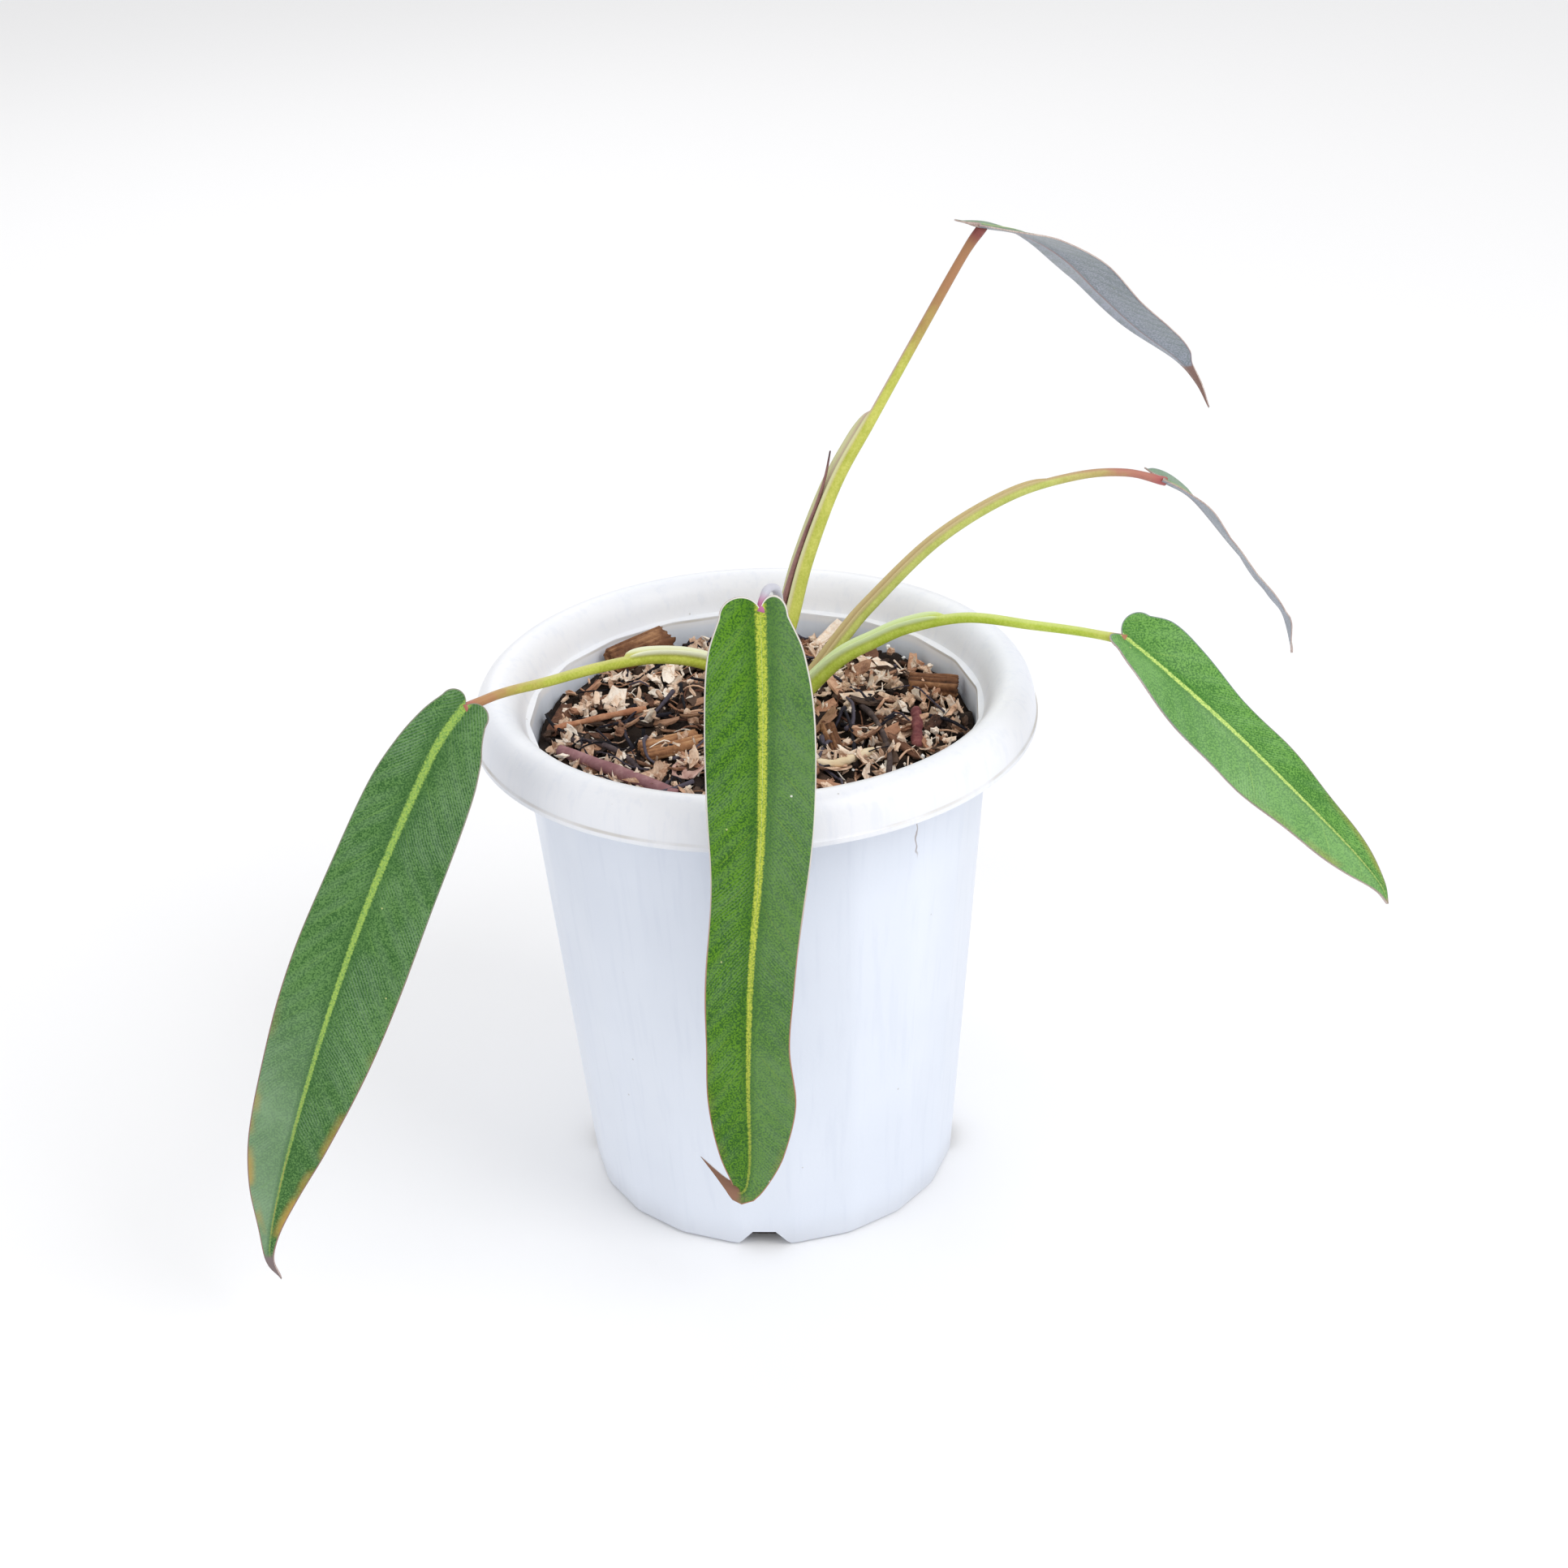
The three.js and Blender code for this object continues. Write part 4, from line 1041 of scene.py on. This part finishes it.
def make_stem():
    """The short stem with its leaf scars, and the thick roots that dive into the mix."""
    def trunk_radius(share, angle):
        taper = lerp(0.72, 1, smoothstep(share, 0, 0.5))
        dome = math.sqrt(max(0.04, 1 - smoothstep(share, 0.86, 1.02) ** 2))
        scar = 0.05 * math.sin(share * 46 + 0.6 * math.sin(angle))
        return STEM_RADIUS * taper * dome * (1 + scar)

    def root_radius(share, angle):
        return ROOT_RADIUS * (1 - 0.45 * share) * (1 + 0.07 * math.sin(share * 31 + angle))

    bm = new_mesh(*TUBE_LAYERS)
    trunk = Path([(*STEM_AT, height) for height in (116, 130, 145, 157.5)])
    roll_tube(bm, trunk, trunk_radius, 48, 70, (1, 0, 0))
    for points in ROOTS:
        roll_tube(bm, Path(points), root_radius, 16, 30, tone=0.62)
    settle(link("short_stem", bm, [dry_material("stem bark")]), "stem")


def make_stick(name):
    points, ends, slot = STICKS[name]
    knotty, bumpy = (0.03, 0.04) if name == "old_petiole" else (0.12, 0.16)

    def radius_at(share, angle):
        knots = 1 + knotty * math.sin(share * 17)
        at = Vector((share * 14, math.cos(angle), math.sin(angle) + len(name)))
        return lerp(*ends, share) * knots * (1 + bumpy * noise.noise(at))

    bm = new_mesh(*TUBE_LAYERS)
    roll_tube(bm, Path(points), radius_at, 18, 60, tone=0.55)
    settle(link(f"piece_{name}", bm, [dry_material(f"dry {name}")]), name)


# Bark slabs and the dry scrap


def make_slab(name, look):
    """A split piece of bark: layered along its length, with ragged ends."""
    at, (length, width, thick), turn = SLABS[name]
    bm = new_mesh("tone")
    tone = bm.verts.layers.float["tone"]
    bmesh.ops.create_cube(bm, size=1)
    bmesh.ops.subdivide_edges(bm, edges=bm.edges, cuts=13, use_grid_fill=True)
    seed = Vector((len(name) * 3.1, at[0], at[1]))
    lengthwise = length >= width
    for vert in bm.verts:
        x, y, z = vert.co
        run, grain = (x, y * 3) if lengthwise else (y, x * 3)
        layer = noise.noise(Vector((run * 1.2, grain * 2.5, z * 3)) + seed)
        ragged = noise.noise(Vector((0, grain * 3, z * 4)) + seed * 2)
        pull = 1 + 0.14 * ragged * (abs(run) * 2) ** 3 - 0.07
        round_off = 1 - 0.18 * (abs(z) * 2) ** 4
        x, y = (x * pull, y * round_off) if lengthwise else (x * round_off, y * pull)
        z += 0.22 * layer * (0.3 + abs(z))
        vert.co = Vector((x * length, y * width, z * thick)) * MM
        vert[tone] = 0.5 + 0.4 * layer
    lay(bm, turn, at)
    bmesh.ops.recalc_face_normals(bm, faces=bm.faces)
    settle(link(f"slab_{name}", bm, [look]), name)


def make_scrap():
    """The curled scrap of a dry leaf."""
    bm = new_mesh("tone")
    tone = bm.verts.layers.float["tone"]
    bmesh.ops.create_grid(bm, x_segments=26, y_segments=20, size=1)
    for vert in bm.verts:
        along, across = (vert.co.x + 1) / 2, vert.co.y
        ragged = noise.noise(Vector((along * 5, across * 2, 4.2)))
        wide = 4.5 * (0.55 + 0.45 * math.sin(math.pi * (0.15 + 0.75 * along))) * (1 + 0.14 * ragged)
        rise = 0.9 * across * across * (1 + along) + 0.5 * math.sin(5 * along) + 0.3 * ragged
        vert.co = Vector(((along - 0.5) * 13 * (1 + 0.05 * ragged), wide * across, rise)) * MM
        vert[tone] = 0.5 + 0.3 * ragged
    lay(bm, (0, 0, 68), (-19, -27, 150.9))
    piece = link("dry_leaf_scrap", bm, [dry_material("dry leaf")])
    thicken(piece, 0.5)
    settle(piece, "dry_scrap")


# Potting mix


def mix_height(x, y):
    """How high the mix stands there, in millimetres."""
    rough = math.sin(x * 0.31 + 1) * math.cos(y * 0.27) + 0.6 * math.sin(x * 0.13 - y * 0.38)
    return MIX_TOP + MIX_RIPPLE * rough


def make_mix_body():
    """The body of the mix, with a deeply broken top."""
    top = [(MIX_RADIUS * k / 56, MIX_TOP) for k in range(57)]
    side = [(66.1, 147), (64, 120), (60, 60), (55.6, 2.8), (30, 2.6), (0, 2.6)]
    body = spun(top + side, 150, "mix_body", dry_material("dark mix", 0.42))
    for vert in body.data.vertices:
        x, y, z = vert.co / MM
        if z > MIX_TOP - 1:
            spot = Vector((x, y, 0))
            broken = noise.noise(spot * 0.32) * 1.1 + noise.noise(spot * 0.9) * 0.8
            vert.co.z = (mix_height(x, y) + broken - 0.9) * MM
        if math.hypot(x, y) > 50:
            draw_in(vert)
    settle(body, "potting_mix")


def spots(count, seed, edge=63.0, cluster=None):
    """Places on the mix, seeded. cluster is a noise scale and a floor that the noise has to pass."""
    draw = random.Random(seed)
    found = []
    while len(found) < count:
        radius, turn = edge * math.sqrt(draw.random()), draw.random() * 2 * math.pi
        x, y = radius * math.cos(turn), radius * math.sin(turn)
        if math.hypot(x - STEM_AT[0], y - STEM_AT[1]) < STEM_RADIUS - 1:
            continue
        if cluster and noise.noise(Vector((x, y, seed)) * cluster[0]) < cluster[1]:
            continue
        found.append((x, y, draw))
    return found


def loose_part(bm, at, draw, tilt, shape):
    """One crumb or chip: a small ball that shape pushes out of round, laid at a random tilt."""
    part = new_mesh(*TUBE_LAYERS)
    bmesh.ops.create_icosphere(part, subdivisions=2, radius=1)
    tone = part.verts.layers.float["tone"]
    seed = Vector([draw.random() * 50 for _ in range(3)])
    spin = Euler([(draw.random() - 0.5) * tilt, (draw.random() - 0.5) * tilt, draw.random() * 6.28])
    spin = spin.to_matrix()
    shade = lerp(0.25, 0.85, draw.random())
    for vert in part.verts:
        vert.co = (spin @ shape(vert.co, seed) + at) * MM
        vert[tone] = shade
    take_in(bm, part)


def make_crumbs(name, count, seed, sizes, flat, lift, look, cluster=None):
    """Crumbs of husk, bark or perlite."""
    bm = new_mesh(*TUBE_LAYERS)
    for x, y, draw in spots(count, seed, cluster=cluster):
        size = lerp(*sizes, draw.random() ** 2)
        wide = size * lerp(0.55, 1, draw.random())

        def shape(co, seed_at):
            push = 1 + 0.7 * noise.noise(co * 1.5 + seed_at)
            return Vector((co.x * size, co.y * wide, co.z * size * flat)) * push

        loose_part(bm, Vector((x, y, mix_height(x, y) + lift * size)), draw, 1.2, shape)
    settle(link(name, bm, [look], smooth=False))


def make_flakes(
    name, count, seed, sizes, look, cluster=None, widths=(0.3, 0.7), thin=(0.3, 0.8),
    tilt=0.9, ragged=0.45, lift=0.7,
):
    """Flat split chips of bark or husk, lying at odd angles."""
    bm = new_mesh(*TUBE_LAYERS)
    for x, y, draw in spots(count, seed, edge=61.5, cluster=cluster):
        length = lerp(*sizes, draw.random() ** 1.7) / 2
        width, thick = length * lerp(*widths, draw.random()), lerp(*thin, draw.random())

        def shape(co, seed_at):
            boxy = Vector([math.copysign(abs(c) ** 0.5, c) for c in co])
            boxy += noise.noise_vector(co * 1.7 + seed_at) * ragged
            curl = 0.25 * ragged * boxy.x * boxy.x * length
            return Vector((boxy.x * length, boxy.y * width, boxy.z * thick + curl))

        high = lift * (0.5 + draw.random())
        loose_part(bm, Vector((x, y, mix_height(x, y) + high)), draw, tilt, shape)
    settle(link(name, bm, [look], smooth=False))


def make_fibres(name, count, seed, reach, thick, look, lift):
    """Thin curling threads of husk and root."""
    bm = new_mesh(*TUBE_LAYERS)
    for x, y, draw in spots(count, seed, edge=60.0):
        turn, length = draw.random() * 6.28, lerp(*reach, draw.random())
        bend = (draw.random() - 0.5) * 2.4
        points = []
        for k in range(4):
            angle = turn + bend * k / 3
            x += math.cos(angle) * length / 3
            y += math.sin(angle) * length / 3
            if math.hypot(x, y) > 64:
                break
            points.append((x, y, mix_height(x, y) + lift * (0.5 + draw.random() * 1.6)))
        if len(points) > 2:
            radius = lerp(*thick, draw.random())
            roll_tube(
                bm, Path(points), lambda share, angle: radius * (1 - 0.5 * share), 6, 9,
                tone=draw.random(),
            )
    settle(link(name, bm, [look]))


def make_litter():
    """Everything that lies loose on the mix, from fine crumbs to long twigs."""
    husk, tan, brown = (dry_material(name) for name in ("pale husk", "tan bark", "brown bark"))
    black, white, twig = (dry_material(name) for name in ("wet bark", "perlite", "black twig"))
    make_crumbs("black_crumbs", 460, 22, (0.8, 2.6), 0.7, 0.2, black)
    make_flakes("wet_flakes", 170, 31, (4.0, 11.0), black, widths=(0.25, 0.6), lift=0.5)
    make_flakes("brown_flakes", 120, 25, (4.0, 14.0), brown, widths=(0.16, 0.5), lift=1.1)
    make_flakes("tan_flakes", 120, 26, (3.0, 11.0), tan, widths=(0.12, 0.42), lift=1.5, tilt=1.3)
    make_crumbs("husk_crumbs", 260, 21, (0.6, 1.8), 0.75, 1.1, husk, cluster=(0.1, 0.1))
    make_flakes(
        "husk_frays", 800, 32, (1.8, 6.6), husk, (0.1, 0.08), (0.2, 0.55),
        (0.2, 0.5), tilt=2.6, ragged=0.9, lift=1.9,
    )
    make_flakes(
        "pale_curls", 34, 33, (7.0, 15.0), husk, None, (0.22, 0.45), (0.2, 0.45),
        tilt=0.8, ragged=0.75, lift=2.2,
    )
    make_crumbs("perlite_grains", 34, 24, (0.4, 1.1), 0.9, 1.6, white)
    make_fibres("husk_threads", 330, 27, (2, 9), (0.14, 0.36), husk, 1.0)
    make_fibres("bark_threads", 150, 29, (4, 13), (0.25, 0.55), tan, 1.2)
    make_fibres("black_twigs", 84, 28, (6, 26), (0.3, 0.85), twig, 2.0)


# Stage


def make_stage():
    bm = bmesh.new()
    bmesh.ops.create_grid(bm, x_segments=1, y_segments=1, size=6)
    material, build, skin = start_material("pale floor", 0.9, 0.1)
    build.feed(skin["Base Color"], (250, 250, 251))
    floor = link("floor", bm, [material])
    floor.location.z = -0.0002
    world = bpy.data.worlds.new("studio")
    world.use_nodes = True
    light = world.node_tree.nodes["Background"].inputs
    light["Color"].default_value = (1, 1, 1, 1)
    light["Strength"].default_value = 0.82
    bpy.context.scene.world = world
    bpy.context.scene.view_settings.view_transform = "Standard"


def make_light(name, at, energy, size):
    """A square lamp, placed in metres, that looks at the plant."""
    lamp = bpy.data.lights.new(name, "AREA")
    lamp.energy = energy
    lamp.size = size
    holder = bpy.data.objects.new(name, lamp)
    holder.location = at
    holder.rotation_euler = (Vector(LIGHT_AIM) - Vector(at)).to_track_quat("-Z", "Y").to_euler()
    bpy.context.scene.collection.objects.link(holder)


def make_camera():
    camera = bpy.data.objects.new("camera", bpy.data.cameras.new("camera"))
    camera.data.lens = LENS
    camera.data.sensor_width = 36
    camera.data.clip_start = 0.01
    turn = Matrix.Rotation(math.radians(90 - CAMERA_RISE), 4, "X")
    turn = turn @ Matrix.Rotation(math.radians(CAMERA_ROLL), 4, "Z")
    place = Vector(CAMERA_AIM) + turn.to_3x3() @ UP * CAMERA_DISTANCE
    camera.matrix_world = Matrix.Translation(place * MM) @ turn
    bpy.context.scene.collection.objects.link(camera)
    bpy.context.scene.camera = camera


make_camera()
make_stage()
make_light("key", (0.85, -0.6, 1.2), 8, 0.8)
make_light("fill", (-1.1, -0.8, 0.9), 1.6, 1.2)
make_light("rim", (-0.3, 1.2, 1.1), 3, 1.0)

MARGIN = margin_material()
UNDERSIDES = {}
for leaf_name, look_values in UPPER.items():
    values = UNDER | {"Dry From": look_values["Dry From"]}
    UNDERSIDES[leaf_name] = grown_material(f"{leaf_name} underside", BLADE_SKIN, values, BLADE_RELIEF)

make_pot()
make_mix_body()
make_litter()
make_stem()
for leaf_name, leaf_values in LEAVES.items():
    make_petiole(leaf_name, leaf_values)
    make_blade(leaf_name, leaf_values)
make_new_leaf()
BARK, FLAT_BARK = dry_material("slab bark"), dry_material("flat bark")
for slab_name in SLABS:
    make_slab(slab_name, FLAT_BARK if slab_name == "bark_flat" else BARK)
for stick_name in STICKS:
    make_stick(stick_name)
make_scrap()
